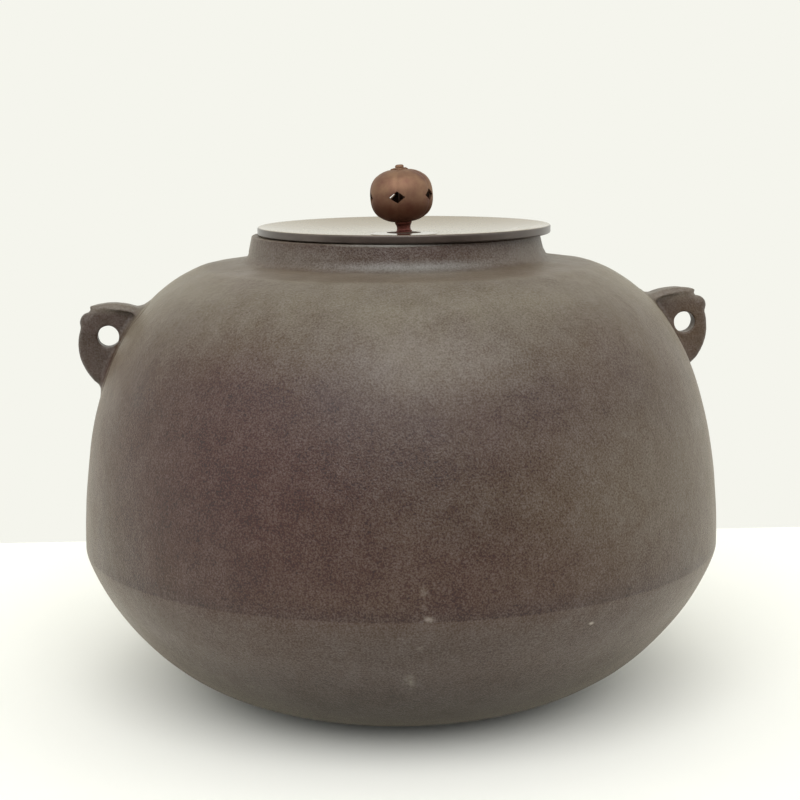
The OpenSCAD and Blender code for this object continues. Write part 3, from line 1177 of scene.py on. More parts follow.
    def build(self, skin: Finish, wall: Finish) -> None:
        """Joins the lug's forms, bores it, trims it to the wall and melts its edges as casting does.

        Args:
            skin: Finish of the lug.
            wall: Finish of the wall that it runs into.
        """
        piece = self.jaw()
        piece.name = f"ring_lug_{self.side.name.lower()}"
        combine(piece, self.brow(), Cut.ADD)
        deselect()
        tip = (self.nose_out * MM, 0, self.nose_up * MM)
        bpy.ops.mesh.primitive_uv_sphere_add(segments=32, ring_count=16, radius=self.nose_d / 2 * MM,
                                             location=tip)
        nose = begin("nose")
        bpy.ops.transform.resize(value=self.nose_shape, center_override=tip)
        close(nose)
        combine(piece, nose, Cut.ADD)
        out = self.casting.wall_radius(self.middle_z) + self.middle_out
        piece.rotation_euler = (0, 0, 0 if self.side is Side.RIGHT else math.pi)
        piece.location = (self.side.value * out * MM, 0, self.middle_z * MM)
        settle(piece)
        recast(piece, self.voxel)
        self.fillet(piece)
        combine(piece, self.casting.block(self.sunk), Cut.REMOVE, "MANIFOLD")
        bore = self.disc("bore", self.bore_d / 2, 3 * self.cheek_t,
                         (self.side.value * (out + self.bore_out), 0, self.middle_z - self.bore_down))
        close(bore)
        combine(piece, bore, Cut.REMOVE)
        recast(piece, self.voxel)
        modify(piece, "SMOOTH", factor=0.5, iterations=3)
        for size, height in self.swells:
            roughen(piece, size, height)
        settle(piece, CAST)
        near = piece.data.attributes.new(NEAR_WALL, "FLOAT", "POINT")
        for vertex in piece.data.vertices:
            place = vertex.co / MM
            off = math.hypot(place.x, place.y) - self.casting.wall_radius(place.z)
            near.data[vertex.index].value = 1 - ramp(off, self.wall_skin, self.tint_reach)
        paint(piece, skin, wall, second_on=lambda face: all(near.data[i].value >= 1 for i in face.vertices))
        hand_over(piece, f"lug_{self.side.name.lower()}", Body.KETTLE)


@dataclass
class ScoopedLid:
    """The lid: a scooped plate with an upright edge and a locating ring, and the washer under its middle."""

    casting: KettleCasting
    rim_r: float = 59.5
    edge_h: float = 3.3
    edge_round: float = 0.7
    dish_depth: float = 3.6
    dish_t: float = 2.2
    dish_flat_r: float = 15.0
    dish_rows: int = 40
    ring_play: float = 3.0
    ring_t: float = 2.4
    ring_drop: float = 4.5
    ring_round: float = 0.4
    gap: float = 0.3
    slack: float = 0.8
    hole_r: float = 1.75
    backing_d: float = 16.0
    backing_t: float = 1.2
    backing_round: float = 0.35
    turns: int = 256

    @property
    def shift(self) -> float:
        """How far the lid lies towards the right lug."""
        return self.slack * self.ring_play

    @property
    def edge_z(self) -> float:
        """Height of the edge's underside."""
        return self.casting.mouth_z + self.gap

    @property
    def top_z(self) -> float:
        """Height of the lid's flat middle."""
        return self.edge_z + self.edge_h - self.dish_depth

    def dish(self, start: float, stop: float, below: float) -> list[Point]:
        """Line of the scooped plate between two radii.

        Args:
            start: First radius.
            stop: Last radius.
            below: Distance under the top face.

        Returns:
            Points of radius and height.
        """
        rim = self.rim_r - self.edge_round
        made = []
        for i in range(self.dish_rows + 1):
            r = start + (stop - start) * i / self.dish_rows
            share = max(0.0, r - self.dish_flat_r) / (rim - self.dish_flat_r)
            made.append((r, self.top_z + self.dish_depth * share ** 2 - below))
        return made

    def build(self, bronze: Finish, edge_shade: Finish, copper: Finish) -> None:
        """Turns the plate and its washer and lays them on the mouth.

        Args:
            bronze: Finish of the plate.
            edge_shade: Finish of the plate's upright edge, a darker copy of the bronze as painted dark
                reflection.
            copper: Finish of the washer.
        """
        rim, soft, bend = self.rim_r, self.edge_round, self.ring_round
        ring_r = self.casting.mouth_r - self.ring_play
        ring_in = ring_r - self.ring_t
        low, top = self.edge_z - self.ring_drop, self.edge_z + self.edge_h
        under = self.top_z - self.dish_t
        line = chain(
            even_steps([(self.hole_r, self.top_z), (self.dish_flat_r, self.top_z)], 3.0),
            self.dish(self.dish_flat_r, rim - soft, 0),
            arc((rim - soft, top - soft), soft, 80, 0, 6),
            even_steps([(rim, top - soft), (rim, self.edge_z + soft)], 0.7),
            arc((rim - soft, self.edge_z + soft), soft, 0, -90, 6),
            even_steps([(rim - soft, self.edge_z), (ring_r, self.edge_z)], 1.5),
            even_steps([(ring_r, self.edge_z), (ring_r, low + bend)], 1.0),
            arc((ring_r - bend, low + bend), bend, 0, -90, 3),
            arc((ring_in + bend, low + bend), bend, -90, -180, 3),
            self.dish(ring_in, self.dish_flat_r, self.dish_t),
            even_steps([(self.dish_flat_r, under), (self.hole_r, under)], 3.0),
            [(self.hole_r, self.top_z)])
        plate = lathe("scooped_lid", line, self.turns, TURNED)
        self.lay(plate)
        # The upright edge gets the darker finish, a painted dark reflection of the dim room.
        paint(plate, bronze, edge_shade,
              second_on=lambda face: face.normal.z < 0.8 and self.across(face) > rim - soft)
        hand_over(plate, "lid_plate", Body.LID)

        lower, outer, bend = under - self.backing_t, self.backing_d / 2, self.backing_round
        line = chain([(self.hole_r, under), (outer, under)],
                     arc((outer - bend, lower + bend), bend, 0, -90, 4),
                     [(self.hole_r, lower), (self.hole_r, under)])
        washer = lathe("lid_washer", line, 64, TURNED)
        self.lay(washer)
        paint(washer, copper)
        hand_over(washer, "lid_backing", Body.LID)

    def across(self, face: Any) -> float:
        """Distance of a face's middle from the lid's axis."""
        return math.hypot(face.center.x / MM - self.shift, face.center.y / MM)

    def lay(self, piece: Piece) -> None:
        """Moves a turned piece to the lid's own middle."""
        piece.location = (self.shift * MM, 0, 0)
        settle(piece, TURNED)


@dataclass
class FruitKnob:
    """The knob on its rivet: domed seat, waisted collar, five-lobed hollow ball, pointed calyx, finial."""

    lid: ScoopedLid
    lean: float = 3.5
    seat_d: float = 28.0
    seat_t: float = 1.2
    seat_edge_t: float = 0.3
    # The seat that shows is dished in by this much, and the collar reaches down to it.
    seat_sink: float = 0.7
    seat_land: float = 0.5
    boss_h: float = 0.5
    boss_round: float = 0.15
    # Inside this radius the seat is painted dark, as the shade and reflection of the ball above it.
    middle_shade_r: float = 7.2
    end_gap: float = 0.25
    foot_play: float = 0.1
    foot_d: float = 7.6
    foot_t: float = 0.6
    flare_d: float = 6.8
    waist_d: float = 5.5
    collar_d: float = 7.0
    collar_h: float = 3.1
    ball_d: float = 25.6
    ball_h: float = 21.4
    land_t: float = 0.15
    shell_t: float = 1.4
    lobes: int = 5
    ball_fullness: float = 2.55
    crease_d: float = 0.4
    crease_w: float = 7.0
    # Between these distances from the axis the creases come in.
    crease_fade: Point = (3.0, 9.0)
    pierce_w: float = 6.6
    pierce_h: float = 4.9
    pierce_turn: float = -14.0
    cap_d: float = 7.6
    cap_t: float = 0.5
    cap_droop: float = 0.3
    cap_notch: float = 0.7
    cap_ease: float = 0.12
    stem_d: float = 2.6
    stem_play: float = 0.05
    finial_d: float = 3.5
    finial_h: float = 1.2
    peen_d: float = 5.2
    peen_h: float = 1.2

    @property
    def seat_z(self) -> float:
        """Height of the seat's top, where the rivet's own line starts."""
        return self.lid.top_z + self.seat_t

    @property
    def bore_r(self) -> float:
        """Radius of the rivet's hole through collar, ball and calyx."""
        return self.stem_d / 2 + self.stem_play

    @property
    def foot_s(self) -> float:
        """Distance of the collar's foot along the rivet."""
        return self.end_gap + self.foot_d / 2 * math.tan(math.radians(self.lean))

    @property
    def ball_s(self) -> float:
        """Distance of the ball's underside along the rivet."""
        return self.foot_s + self.collar_h

    @property
    def cap_s(self) -> float:
        """Distance of the calyx along the rivet."""
        return self.ball_s + self.ball_h

    @property
    def finial_s(self) -> float:
        """Distance of the finial along the rivet."""
        return self.cap_s + self.cap_t + self.foot_play

    def pierce_angle(self, i: float) -> float:
        """Angle of a piercing about the rivet, in radians."""
        return math.radians(self.pierce_turn - 90 + 360 / self.lobes * i)

    def stand(self, piece: Piece) -> None:
        """Leans a piece that was made upright onto the rivet's line.

        Args:
            piece: Piece made about the origin.
        """
        piece.rotation_euler = Euler((0, math.radians(-self.lean), 0))
        piece.location = (self.lid.shift * MM, 0, self.seat_z * MM)
        settle(piece, TURNED)

    def seat(self, bronze: Finish, dark: Finish) -> None:
        """Domed washer on the lid, with a low boss under the collar.

        Args:
            bronze: Its finish.
            dark: Finish of its middle, a dull dark sheet as painted shade and reflection of the ball above
                it.
        """
        outer, flat, high = self.seat_d / 2, self.foot_d / 2 + self.seat_land, self.seat_t - self.seat_sink
        base, bore = self.lid.top_z, self.lid.hole_r
        dome = []
        for i in range(17):
            share = i / 16
            rise = (high - self.seat_edge_t) * math.sin(share * math.pi / 2)
            dome.append((outer + (flat - outer) * share, base + self.seat_edge_t + rise))
        side = softened(even_steps([(outer, base)] + dome, 0.4), 1)
        line = chain([(bore, base), (outer, base)], side, [(bore, base + high), (bore, base)])
        piece = lathe("knob_seat_washer", line, 128, TURNED)
        self.lid.lay(piece)
        bead, bend = self.flare_d / 2, self.boss_round
        top = bead * math.tan(math.radians(self.lean)) - self.seat_sink
        low = top - self.boss_h
        line = [(bore, low), (bead, low), (bead, top - bend), (bead - bend, top), (bore, top), (bore, low)]
        boss = lathe("seat_boss", line, 64, TURNED)
        self.stand(boss)
        combine(piece, boss, Cut.ADD)
        settle(piece, TURNED)
        paint(piece, bronze, dark, second_on=lambda face: self.lid.across(face) < self.middle_shade_r)
        hand_over(piece, "knob_seat", Body.LID)

    def collar(self, copper: Finish) -> None:
        """Waisted collar under the ball.

        Args:
            copper: Its finish.
        """
        bore, flare, waist, neck = self.bore_r, self.flare_d / 2, self.waist_d / 2, self.collar_d / 2
        foot = self.foot_play + flare * math.tan(math.radians(self.lean)) - self.seat_sink
        top = self.ball_s
        high = top - foot
        side = [(flare, foot), (flare - 0.05, foot + self.foot_t / 2), (waist + 0.2, foot + self.foot_t),
                (waist, foot + self.foot_t + high / 5), (waist + 0.15, foot + high * 0.65),
                (neck - 0.15, top - self.foot_t), (neck, top - self.foot_t / 2), (neck, top)]
        line = chain([(bore, foot)], softened(even_steps(side, 0.18), 3), [(bore, top), (bore, foot)])
        piece = lathe("knob_neck", line, 64, TURNED)
        self.stand(piece)
        paint(piece, copper)
        hand_over(piece, "knob_collar", Body.KNOB)

    def ball(self, copper: Finish) -> None:
        """Hollow ball with soft creases and a lozenge piercing in each.

        Args:
            copper: Its finish.
        """
        bore, reach, half = self.bore_r, self.ball_d / 2, self.ball_h / 2
        cheek = half + self.land_t
        out = reach - cheek
        inner = cheek - self.shell_t
        inner_lat = 90 + math.degrees(math.asin((out - bore) / inner))
        lower = [(reach * (1 - (1 - i / 36) ** self.ball_fullness) ** (1 / self.ball_fullness),
                  -half * (1 - i / 36)) for i in range(9, 36)]
        flat = [(lower[0][0] * i / 6, -half + (lower[0][1] + half) * (i / 6) ** 3) for i in range(2, 6)]
        under = chain(flat, lower)
        line = chain([(bore, -half)], under, [(reach, 0.0)], [(r, -z) for r, z in reversed(under)],
                     [(bore, half)], arc((out, 0), inner, inner_lat, -inner_lat, 48), [(bore, -half)])
        piece = lathe("pierced_fruit_ball", line, 160, TURNED)
        wide = math.radians(self.crease_w)

        def crease(place: Vector) -> float:
            """Depth of the creases: full at the middle of each, none inside and towards the poles.

            Args:
                place: Place on the ball.

            Returns:
                The share of the depth.
            """
            across = math.hypot(place.x, place.y)
            if math.hypot(across - out, place.z) < cheek - self.shell_t / 2:
                return 0.0
            turn = math.atan2(place.y, place.x) - self.pierce_angle(0)
            step = math.tau / self.lobes
            off = abs((turn + step / 2) % step - step / 2)
            return math.exp(-off / wide) * ramp(across, *self.crease_fade)

        group = weigh(piece, "crease", crease)
        modify(piece, "DISPLACE", strength=-self.crease_d * MM, mid_level=0.0, vertex_group=group)
        for i in range(self.lobes):
            deselect()
            bpy.ops.mesh.primitive_cylinder_add(vertices=4, radius=self.pierce_w / 2 * MM, depth=reach * MM)
            tool = begin("piercing")
            bpy.ops.transform.resize(value=(1, self.pierce_h / self.pierce_w, 1), center_override=(0, 0, 0))
            close(tool)
            turn = Matrix.Rotation(self.pierce_angle(i), 4, "Z")
            tool.matrix_world = (turn @ Matrix.Translation((reach * MM, 0, 0))
                                 @ Euler((math.pi / 2, 0, math.pi / 2)).to_matrix().to_4x4())
            settle(tool)
            combine(piece, tool, Cut.REMOVE)
        piece.data.transform(Matrix.Translation((0, 0, (self.ball_s + half) * MM)))
        self.stand(piece)
        paint(piece, copper)
        hand_over(piece, "knob_ball", Body.KNOB)

    def calyx(self, copper: Finish) -> None:
        """Thin pointed calyx on the ball.

        Args:
            copper: Its finish.
        """
        points = 2 * self.lobes
        step = math.tau / points

        def notch(place: Vector) -> bool:
            """Says whether a place is the corner between two points."""
            turn = (math.atan2(place.y, place.x) - math.pi / 2) / step
            return abs(turn % 2 - 1) < 0.1 and math.hypot(place.x, place.y) > 1

        deselect()
        bpy.ops.mesh.primitive_cylinder_add(
            vertices=points, radius=self.cap_d / 2 * MM, depth=self.cap_t * MM,
            location=(0, 0, (self.cap_s + self.cap_t / 2) * MM))
        piece = begin("calyx")
        pick(piece, notch)
        bpy.ops.transform.resize(value=(self.cap_notch, self.cap_notch, 1), center_override=(0, 0, 0))
        pick(piece, lambda place: math.hypot(place.x, place.y) > self.cap_d * 0.45)
        bpy.ops.transform.translate(value=(0, 0, -self.cap_droop * MM))
        close(piece)
        piece.rotation_euler = (0, 0, self.pierce_angle(0) - math.pi / 2)
        settle(piece)
        deselect()
        bpy.ops.mesh.primitive_cylinder_add(vertices=32, radius=self.bore_r * MM, depth=4 * self.cap_t * MM,
                                            location=(0, 0, self.cap_s * MM))
        hole = begin("calyx_hole")
        close(hole)
        combine(piece, hole, Cut.REMOVE)
        ease(piece, self.cap_ease, 3, 40)
        self.stand(piece)
        paint(piece, copper)
        hand_over(piece, "knob_cap", Body.KNOB)

    def rivet(self, copper: Finish) -> None:
        """Rivet through knob and lid: a small finial on top and a peened end below.

        Args:
            copper: Its finish.
        """
        grip = self.seat_t + self.lid.dish_t + self.lid.backing_t
        shank, head = self.stem_d / 2, self.finial_d / 2
        base, top = self.finial_s, self.finial_s + self.finial_h
        knob = [(head, base), (head, base + self.finial_h * 0.55), (head * 0.92, top - 0.25),
                (head * 0.6, top)]
        line = chain([(0.0, -grip - self.peen_h / 2)], [(shank, -grip - self.peen_h / 2)],
                     even_steps([(shank, -grip), (shank, base)], 3.0),
                     softened(even_steps(knob, 0.15), 2), [(0.0, top)])
        piece = lathe("knob_rivet", line, 48, TURNED)
        self.stand(piece)
        low = self.seat_z - grip
        head = self.peen_d / 2
        dome = [(head, low), (head, low - self.peen_h * 0.3), (head * 0.75, low - self.peen_h * 0.8),
                (0.0, low - self.peen_h)]
        peen = lathe("peen", chain([(0.0, low)], softened(even_steps(dome, 0.2), 3)), 48, TURNED)
        peen.location = ((self.lid.shift + grip * math.tan(math.radians(self.lean))) * MM, 0, 0)
        settle(peen)
        combine(piece, peen, Cut.ADD)
        settle(piece, TURNED)
        paint(piece, copper)
        hand_over(piece, "knob_stem", Body.LID)

    def build(self, bronze: Finish, dark: Finish, neck: Finish, copper: Finish) -> None:
        """Makes every piece of the knob.

        Args:
            bronze: Finish of the seat.
            dark: Finish of the seat's middle, painted shade and reflection of the ball.
            neck: Finish of the collar, a darker copy of the copper as painted shade under the ball.
            copper: Finish of the rest.
        """
        self.seat(bronze, dark)
        self.collar(neck)
        self.ball(copper)
        self.calyx(copper)
        self.rivet(copper)


@dataclass
class SoundingIrons:
    """Small iron plates on lacquer beads inside the bottom, which make the kettle sing."""

    count: int = 5
    ring_r: float = 23.0
    floor_z: float = 3.0
    length: float = 15.0
    width: float = 10.0
    thick: float = 1.6
    clip: float = 2.0
    bed_d: float = 7.0
    bed_t: float = 1.0
    edge_ease: float = 0.3
    voxel: float = 0.4
    # Size and depth of the hammer's dents.
    dents: Point = (3.0, 0.18)

    def plate(self) -> Piece:
        """One clipped and hammered plate at the first place on the ring.

        Returns:
            The plate.
        """
        height = self.floor_z + self.bed_t + self.thick / 2
        deselect()
        bpy.ops.mesh.primitive_cube_add(size=MM, location=(self.ring_r * MM, 0, height * MM),
                                        scale=(self.width, self.length, self.thick))
        piece = begin("plate")
        bpy.ops.object.mode_set(mode="OBJECT")
        settle(piece)
        bpy.ops.object.mode_set(mode="EDIT")
        pick_edges(piece, lambda a, b: abs(a.z - b.z) > self.thick / 2)
        bpy.ops.mesh.bevel(offset=self.clip * MM, segments=1, affect="EDGES")
        close(piece)
        ease(piece, self.edge_ease, 2, 50)
        recast(piece, self.voxel)
        modify(piece, "SMOOTH", factor=0.5, iterations=2)
        settle(piece, CAST)
        return piece

    def bed(self) -> Piece:
        """One bead of lacquer at the first place on the ring.

        Returns:
            The bead.
        """
        top, out = self.bed_t, self.bed_d / 2
        side = [(out, 0.0), (out - 0.05, top * 0.35), (out - top / 4, top * 0.8), (out - top / 2, top)]
        line = chain([(0.0, 0.0)], softened(even_steps(side, 0.15), 2), [(0.0, top)])
        piece = lathe("bead", line, 40)
        piece.location = (self.ring_r * MM, 0, self.floor_z * MM)
        settle(piece)
        return piece

    def build(self, iron: Finish, lacquer: Finish) -> None:
        """Copies the plate and the bead round the ring.

        Args:
            iron: Finish of the plates.
            lacquer: Finish of the beads.
        """
        makes = (("hammered_plate", self.plate(), iron, "sounding_iron", Slot.LUG_IRON),
                 ("lacquer_bead", self.bed(), lacquer, "lacquer_bed", Slot.LACQUER))
        for name, model, finish, node, slot in makes:
            for i in range(1, self.count + 1):
                piece = model.copy()
                piece.data = model.data.copy()
                piece.name = f"{name}_{i}"
                bpy.context.scene.collection.objects.link(piece)
                piece.rotation_euler = (0, 0, math.tau * (i - 0.5) / self.count)
                settle(piece, CAST)
                if finish is iron:
                    roughen(piece, *self.dents)
                paint(piece, finish)
                hand_over(piece, f"{node}_{i}", Body.KETTLE)
            bpy.data.objects.remove(model)


# Studio


@dataclass
class Studio:
    """Pale table, pale wall just behind it, even light from above, and the photograph's camera."""

    focal_px: float = 1693.0
    frame_px: float = 800.0
    sensor: float = 36.0
    pitch: float = 9.677
    azimuth: float = -6.0
    roll: float = 0.606
    away: float = 691.4
    height: float = 236.2
    axis_px: float = 399.85
    wall_away: float = 931.0
    wall_turn: float = 2.3
    table_hex: str = "#f4f5f0"
    # The table ends this far in front of the kettle, and is all dim at this many times as far.
    table_front: float = 320.0
    table_fade: float = 1.7
    table_dim: str = "#4a443e"
    table_bounce: str = "#b9b6ae"
    wall_hex: str = "#f5f5ed"
    # Sides of the table and the wall, in metres.
    table_side: float = 12.0
    wall_side: float = 8.0
    room_hex: str = "#fbfaf5"
    # Strength of the room's light on the dim side and on the bright one, and where the bright one is.
    sky: Point = (0.42, 0.80)
    sky_toward: Place = (0.0, 0.8, 0.6)
    sky_band: float = 0.5
    lamp: float = 1.85
    lamp_spread: float = 60.0
    lamp_tilt: float = 44.0
    lamp_turn: float = -8.0
    side_lamps: Point = (0.5, 0.65)
    side_tilt: float = 62.0
    side_turn: float = 70.0

    @property
    def forward(self) -> Vector:
        """Level direction in which the camera looks."""
        turn = math.radians(self.azimuth)
        return Vector((-math.sin(turn), math.cos(turn), 0))

    def camera(self) -> None:
        """Sets the camera as fitted to the photograph's outline."""
        data = bpy.data.cameras.new("photo_camera")
        data.sensor_width = self.sensor
        data.lens = self.sensor * self.focal_px / self.frame_px
        data.shift_x = (self.frame_px / 2 - self.axis_px) / self.frame_px
        data.clip_start, data.clip_end = 0.01, 100.0
        camera = bpy.data.objects.new("photo_camera", data)
        bpy.context.scene.collection.objects.link(camera)
        spot = -self.forward * self.away * MM
        spot.z = self.height * MM
        tilt = Matrix.Rotation(math.radians(90 - self.pitch), 4, "X")
        turn = Matrix.Rotation(math.radians(self.azimuth), 4, "Z")
        level = Matrix.Rotation(math.radians(-self.roll), 4, "Z")
        camera.matrix_world = Matrix.Translation(spot) @ turn @ tilt @ level
        bpy.context.scene.camera = camera

    def paint_finish(self, name: str, code: str, wall: bool) -> Finish:
        """Matt pale paint. The wall shows its own colour; the table shows the light and the shadow on it.

        Args:
            name: Name of the finish.
            code: Its colour.
            wall: Whether it is the wall, which can be seen through from behind, or the table.

        Returns:
            The finish.
        """
        material, tree = new_material(name)
        path = add_node(tree, "ShaderNodeLightPath").outputs
        if wall:
            seen = reckon(tree, "MAXIMUM", path["Is Camera Ray"], path["Is Glossy Ray"])
            seen = reckon(tree, "MAXIMUM", seen, path["Is Transmission Ray"])
            matt = add_node(tree, "ShaderNodeBsdfDiffuse", {"Color": linear(code)})
            glow = add_node(tree, "ShaderNodeEmission", {"Color": linear(code), "Strength": 1.0})
            front = add_node(tree, "ShaderNodeMixShader", {0: seen, 1: matt.outputs[0], 2: glow.outputs[0]})
            back = add_node(tree, "ShaderNodeNewGeometry").outputs["Backfacing"]
            clear = add_node(tree, "ShaderNodeBsdfTransparent")
            shown = add_node(tree, "ShaderNodeMixShader",
                             {0: back, 1: front.outputs[0], 2: clear.outputs[0]})
        else:
            place = add_node(tree, "ShaderNodeTexCoord").outputs["Object"]
            deep = add_node(tree, "ShaderNodeSeparateXYZ", {0: place}).outputs["Y"]
            # The table ends a little in front of the kettle; past that the kettle sees a dim room.
            end = -self.table_front * MM
            dim = product(tree, spread(tree, deep, end, self.table_fade * end),
                          reckon(tree, "SUBTRACT", 1.0, path["Is Camera Ray"]))
            # Light that the table throws back up is toned down, as by the dark room in front of it.
            tone = blend(tree, path["Is Diffuse Ray"], linear(code), linear(self.table_bounce))
            tone = blend(tree, dim, tone, linear(self.table_dim))
            shown = add_node(tree, "ShaderNodeBsdfDiffuse", {"Color": tone})
        add_node(tree, "ShaderNodeOutputMaterial", {"Surface": shown.outputs[0]})
        return material

    def stage(self) -> None:
        """Lays the table and sets up the wall."""
        deselect()
        bpy.ops.mesh.primitive_plane_add(size=self.table_side)
        table = bpy.context.active_object
        table.name = "table"
        paint(table, self.paint_finish("table_paint", self.table_hex, False))
        foot = self.forward * (self.wall_away - self.away) * MM
        deselect()
        bpy.ops.mesh.primitive_plane_add(size=self.wall_side, location=(foot.x, foot.y, self.wall_side / 2))
        wall = bpy.context.active_object
        wall.name = "wall"
        wall.rotation_euler = (math.pi / 2, 0, math.radians(self.azimuth + self.wall_turn))
        paint(wall, self.paint_finish("wall_paint", self.wall_hex, True))

    def light(self) -> None:
        """Even light: a wide soft lamp high in front, weak ones at the sides, and a room dim in front."""
        lamps = (("ceiling_light", self.lamp, self.lamp_tilt, self.lamp_turn),
                 ("left_light", self.side_lamps[0], self.side_tilt, -self.side_turn),
                 ("right_light", self.side_lamps[1], self.side_tilt, self.side_turn))
        for name, energy, tilt, turn in lamps:
            lamp = bpy.data.lights.new(name, "SUN")
            lamp.energy = energy
            lamp.angle = math.radians(self.lamp_spread)
            holder = bpy.data.objects.new(name, lamp)
            holder.rotation_euler = (math.radians(tilt), 0, math.radians(turn))
            bpy.context.scene.collection.objects.link(holder)
        world = bpy.data.worlds.new("room")
        world.use_nodes = True
        tree = world.node_tree
        tree.nodes.clear()
        path = add_node(tree, "ShaderNodeLightPath")
        toward = add_node(tree, "ShaderNodeTexCoord").outputs["Generated"]
        bright = add_node(tree, "ShaderNodeVectorMath", {0: toward, 1: self.sky_toward},
                          operation="DOT_PRODUCT")
        level = spread(tree, bright.outputs["Value"], -self.sky_band, self.sky_band, *self.sky, "SMOOTHSTEP")
        room = add_node(tree, "ShaderNodeBackground", {"Color": linear(self.room_hex), "Strength": level})
        pale = add_node(tree, "ShaderNodeBackground", {"Color": linear(self.wall_hex), "Strength": 1.0})
        both = add_node(tree, "ShaderNodeMixShader",
                        {0: path.outputs["Is Camera Ray"], 1: room.outputs[0], 2: pale.outputs[0]})
        add_node(tree, "ShaderNodeOutputWorld", {"Surface": both.outputs[0]})
        bpy.context.scene.world = world

    def build(self) -> None:
        """Sets the whole studio."""
        self.camera()
        self.stage()
        self.light()


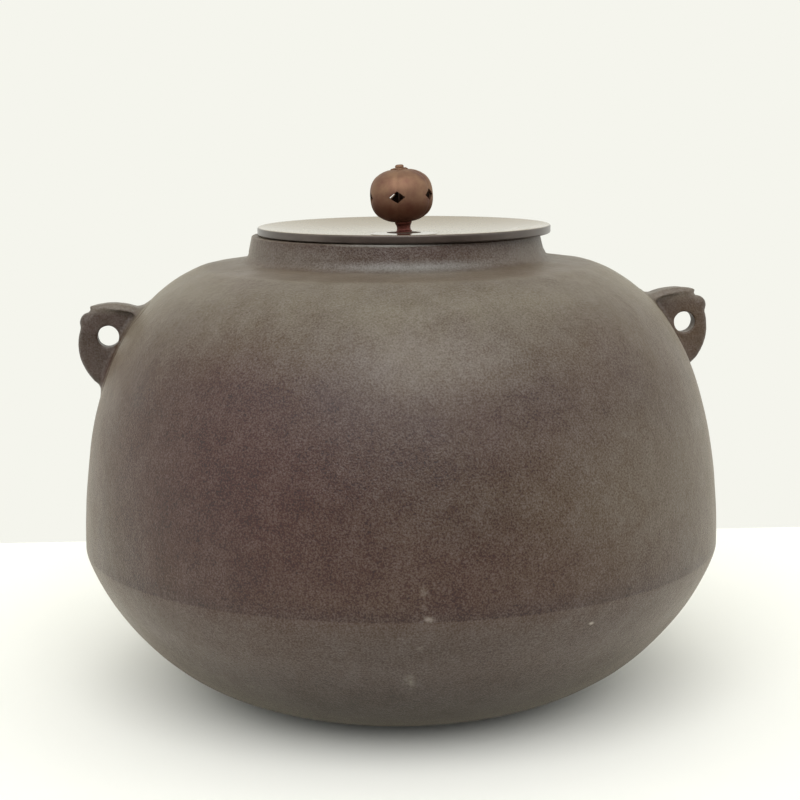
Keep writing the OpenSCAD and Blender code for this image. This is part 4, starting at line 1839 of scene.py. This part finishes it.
@dataclass
class Finishes:
    """The kettle's materials, made once and shared."""

    body: SandCastIron = field(default_factory=lambda: SandCastIron(
        warm="#40261c", dust_and_toplight_from=138.0, dust_and_toplight_to=168.0, dust_and_toplight_end=186.0, bottom_shade_from=44.0, bottom_shade_share=0.95,
        dust_and_toplight_r=78.5, dust_and_toplight_inside=0.25, sheen=0.3, ridge_z=62.5, ridge_shade_share=0.6, grey_and_bounce="#58493f",
        grey_and_bounce_share=0.6,
        stains_and_light=(Mark(-72.0, 110.0, 85.0, 70.0, 0.85, "#3d1a0e"),
                Mark(-84.0, 100.0, 44.0, 46.0, 0.5, "#3a1c11"),
                Mark(0.0, 80.0, 140.0, 24.0, 0.4, "#40261c"), Mark(76.0, 102.0, 80.0, 50.0, 0.9, "#56493b"),
                # Painted shade on the bowl's front under the ridge; a painted highlight high on the front
                # wall.
                Mark(0.0, 50.0, 70.0, 16.0, 0.35, "#41352e"), Mark(0.0, 150.0, 48.0, 22.0, 0.22, "#8a8278"),
                Mark(70.0, 154.0, 54.0, 30.0, 0.45, "#473324"),
                # Painted light on the upward-facing cove round the neck; painted shade on the neck under the
                # lid's edge.
                Mark(0.0, 178.4, 50.0, 3.4, 0.65, "#777672"), Mark(-5.0, 183.8, 36.0, 2.2, 0.3, "#47352f"),
                Mark(-44.0, 181.0, 34.0, 7.0, 0.6, "#635950"), Mark(44.0, 181.0, 30.0, 7.0, 0.4, "#6f6760"),
                # Painted highlight along the mouth's rim.
                Mark(-8.0, 186.8, 30.0, 1.0, 0.7, "#8c8c86")),
        streaks=(Mark(-6.2, 72.0, 2.2, 7.0, 0.17, "#b9b1a6"), Mark(-4.4, 63.6, 3.6, 1.7, 0.35, "#b9b1a6"),
                 Mark(-7.0, 52.0, 1.6, 1.6, 0.2, "#b9b1a6"), Mark(-10.0, 36.0, 3.4, 8.0, 0.3, "#b9b1a6"),
                 Mark(56.0, 55.0, 1.6, 1.0, 0.9, "#b9b1a6"))))
    hollow: SandCastIron = field(default_factory=lambda: SandCastIron(
        name="rusted_hollow_iron", dark="#4a3830", warm="#70452f", grey="#5d524a", cloud=30.0))
    lug: SandCastIron = field(default_factory=lambda: SandCastIron(
        name="lug_cast_iron", dark="#3f332b", warm="#432f27", grey="#483c33", grit=0.7, pit=2.0, cloud=9.0,
        # Pale dust on the brow's top, partly painted light from above.
        dust_and_toplight="#6b6257", dust_and_toplight_from=156.5, dust_and_toplight_to=159.5, dust_and_toplight_share=0.9, speckle=0.03,
        stains_and_light=(Mark(121.0, 146.0, 20.0, 26.0, 1.0, "#62503f"),)))
    lid: SatinBronze = field(default_factory=lambda: SatinBronze(
        "dark_lid_bronze", deep="#6c5d4c", pale="#857562", roughness=(0.22, 0.32), cloud=22.0, coat=0.95,
        flat_tint="#f0e4cc"))
    # The lid's upright edge is a darker, rougher copy of the bronze: painted dark reflection of the dim
    # room.
    lid_edge_shade: SatinBronze = field(default_factory=lambda: SatinBronze(
        "shaded_edge_bronze", deep="#463b35", pale="#584c45", roughness=(0.5, 0.6), cloud=12.0, coat=1.0,
        coat_roughness=0.3))
    seat: SatinBronze = field(default_factory=lambda: SatinBronze(
        "polished_seat_bronze", deep="#83766a", pale="#9a8c7d", roughness=(0.12, 0.18), cloud=7.0, coat=0.6))
    # The seat's middle is a dull dark sheet: painted shade and reflection of the ball above it.
    seat_middle_shade: SatinBronze = field(default_factory=lambda: SatinBronze(
        "shaded_seat_middle", deep="#4a3a2e", pale="#5e4c3c", roughness=(0.85, 0.95), cloud=4.0, metallic=0.0))
    # The collar is a darker copy of the knob's copper: painted shade under the ball.
    collar: SatinBronze = field(default_factory=lambda: SatinBronze(
        "shaded_collar_copper", deep="#54302c", pale="#683f38", roughness=(0.4, 0.5), cloud=4.0))
    knob: SatinBronze = field(default_factory=lambda: SatinBronze(
        "brown_knob_copper", deep="#7a594c", pale="#967861", roughness=(0.56, 0.66), cloud=6.0,
        # The ball's lower part is painted darker, as shade and the reflection of the dark lid.
        low="#5a3328", lower_shade_z=(196.0, 205.0), lower_shade_share=0.6))
    bead: Lacquer = field(default_factory=Lacquer)


def main() -> None:
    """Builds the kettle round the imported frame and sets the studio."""
    logging.basicConfig(level=logging.INFO, format="%(name)s %(message)s")
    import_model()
    bpy.context.scene.view_settings.view_transform = "Standard"

    finishes = Finishes()
    body, hollow, lug = finishes.body.make(), finishes.hollow.make(), finishes.lug.make(finishes.body)
    knob_metal = finishes.knob.make()

    casting = KettleCasting()
    casting.build(body, hollow)
    left_z = casting.crest_z - LUG_DROP
    RingLug(casting, Side.LEFT, left_z, bore_out=-0.9, nose_out=6.5, brow_in=2.6).build(lug, body)
    right_z = left_z + RIGHT_LUG_RISE
    RingLug(casting, Side.RIGHT, right_z, bore_out=1.3, bore_down=1.2, brow_in=1.6).build(lug, body)
    lid = ScoopedLid(casting)
    lid.build(finishes.lid.make(), finishes.lid_edge_shade.make(), knob_metal)
    FruitKnob(lid).build(finishes.seat.make(), finishes.seat_middle_shade.make(), finishes.collar.make(), knob_metal)
    SoundingIrons().build(lug, finishes.bead.make())
    Studio().build()


if __name__ == "__main__":
    main()
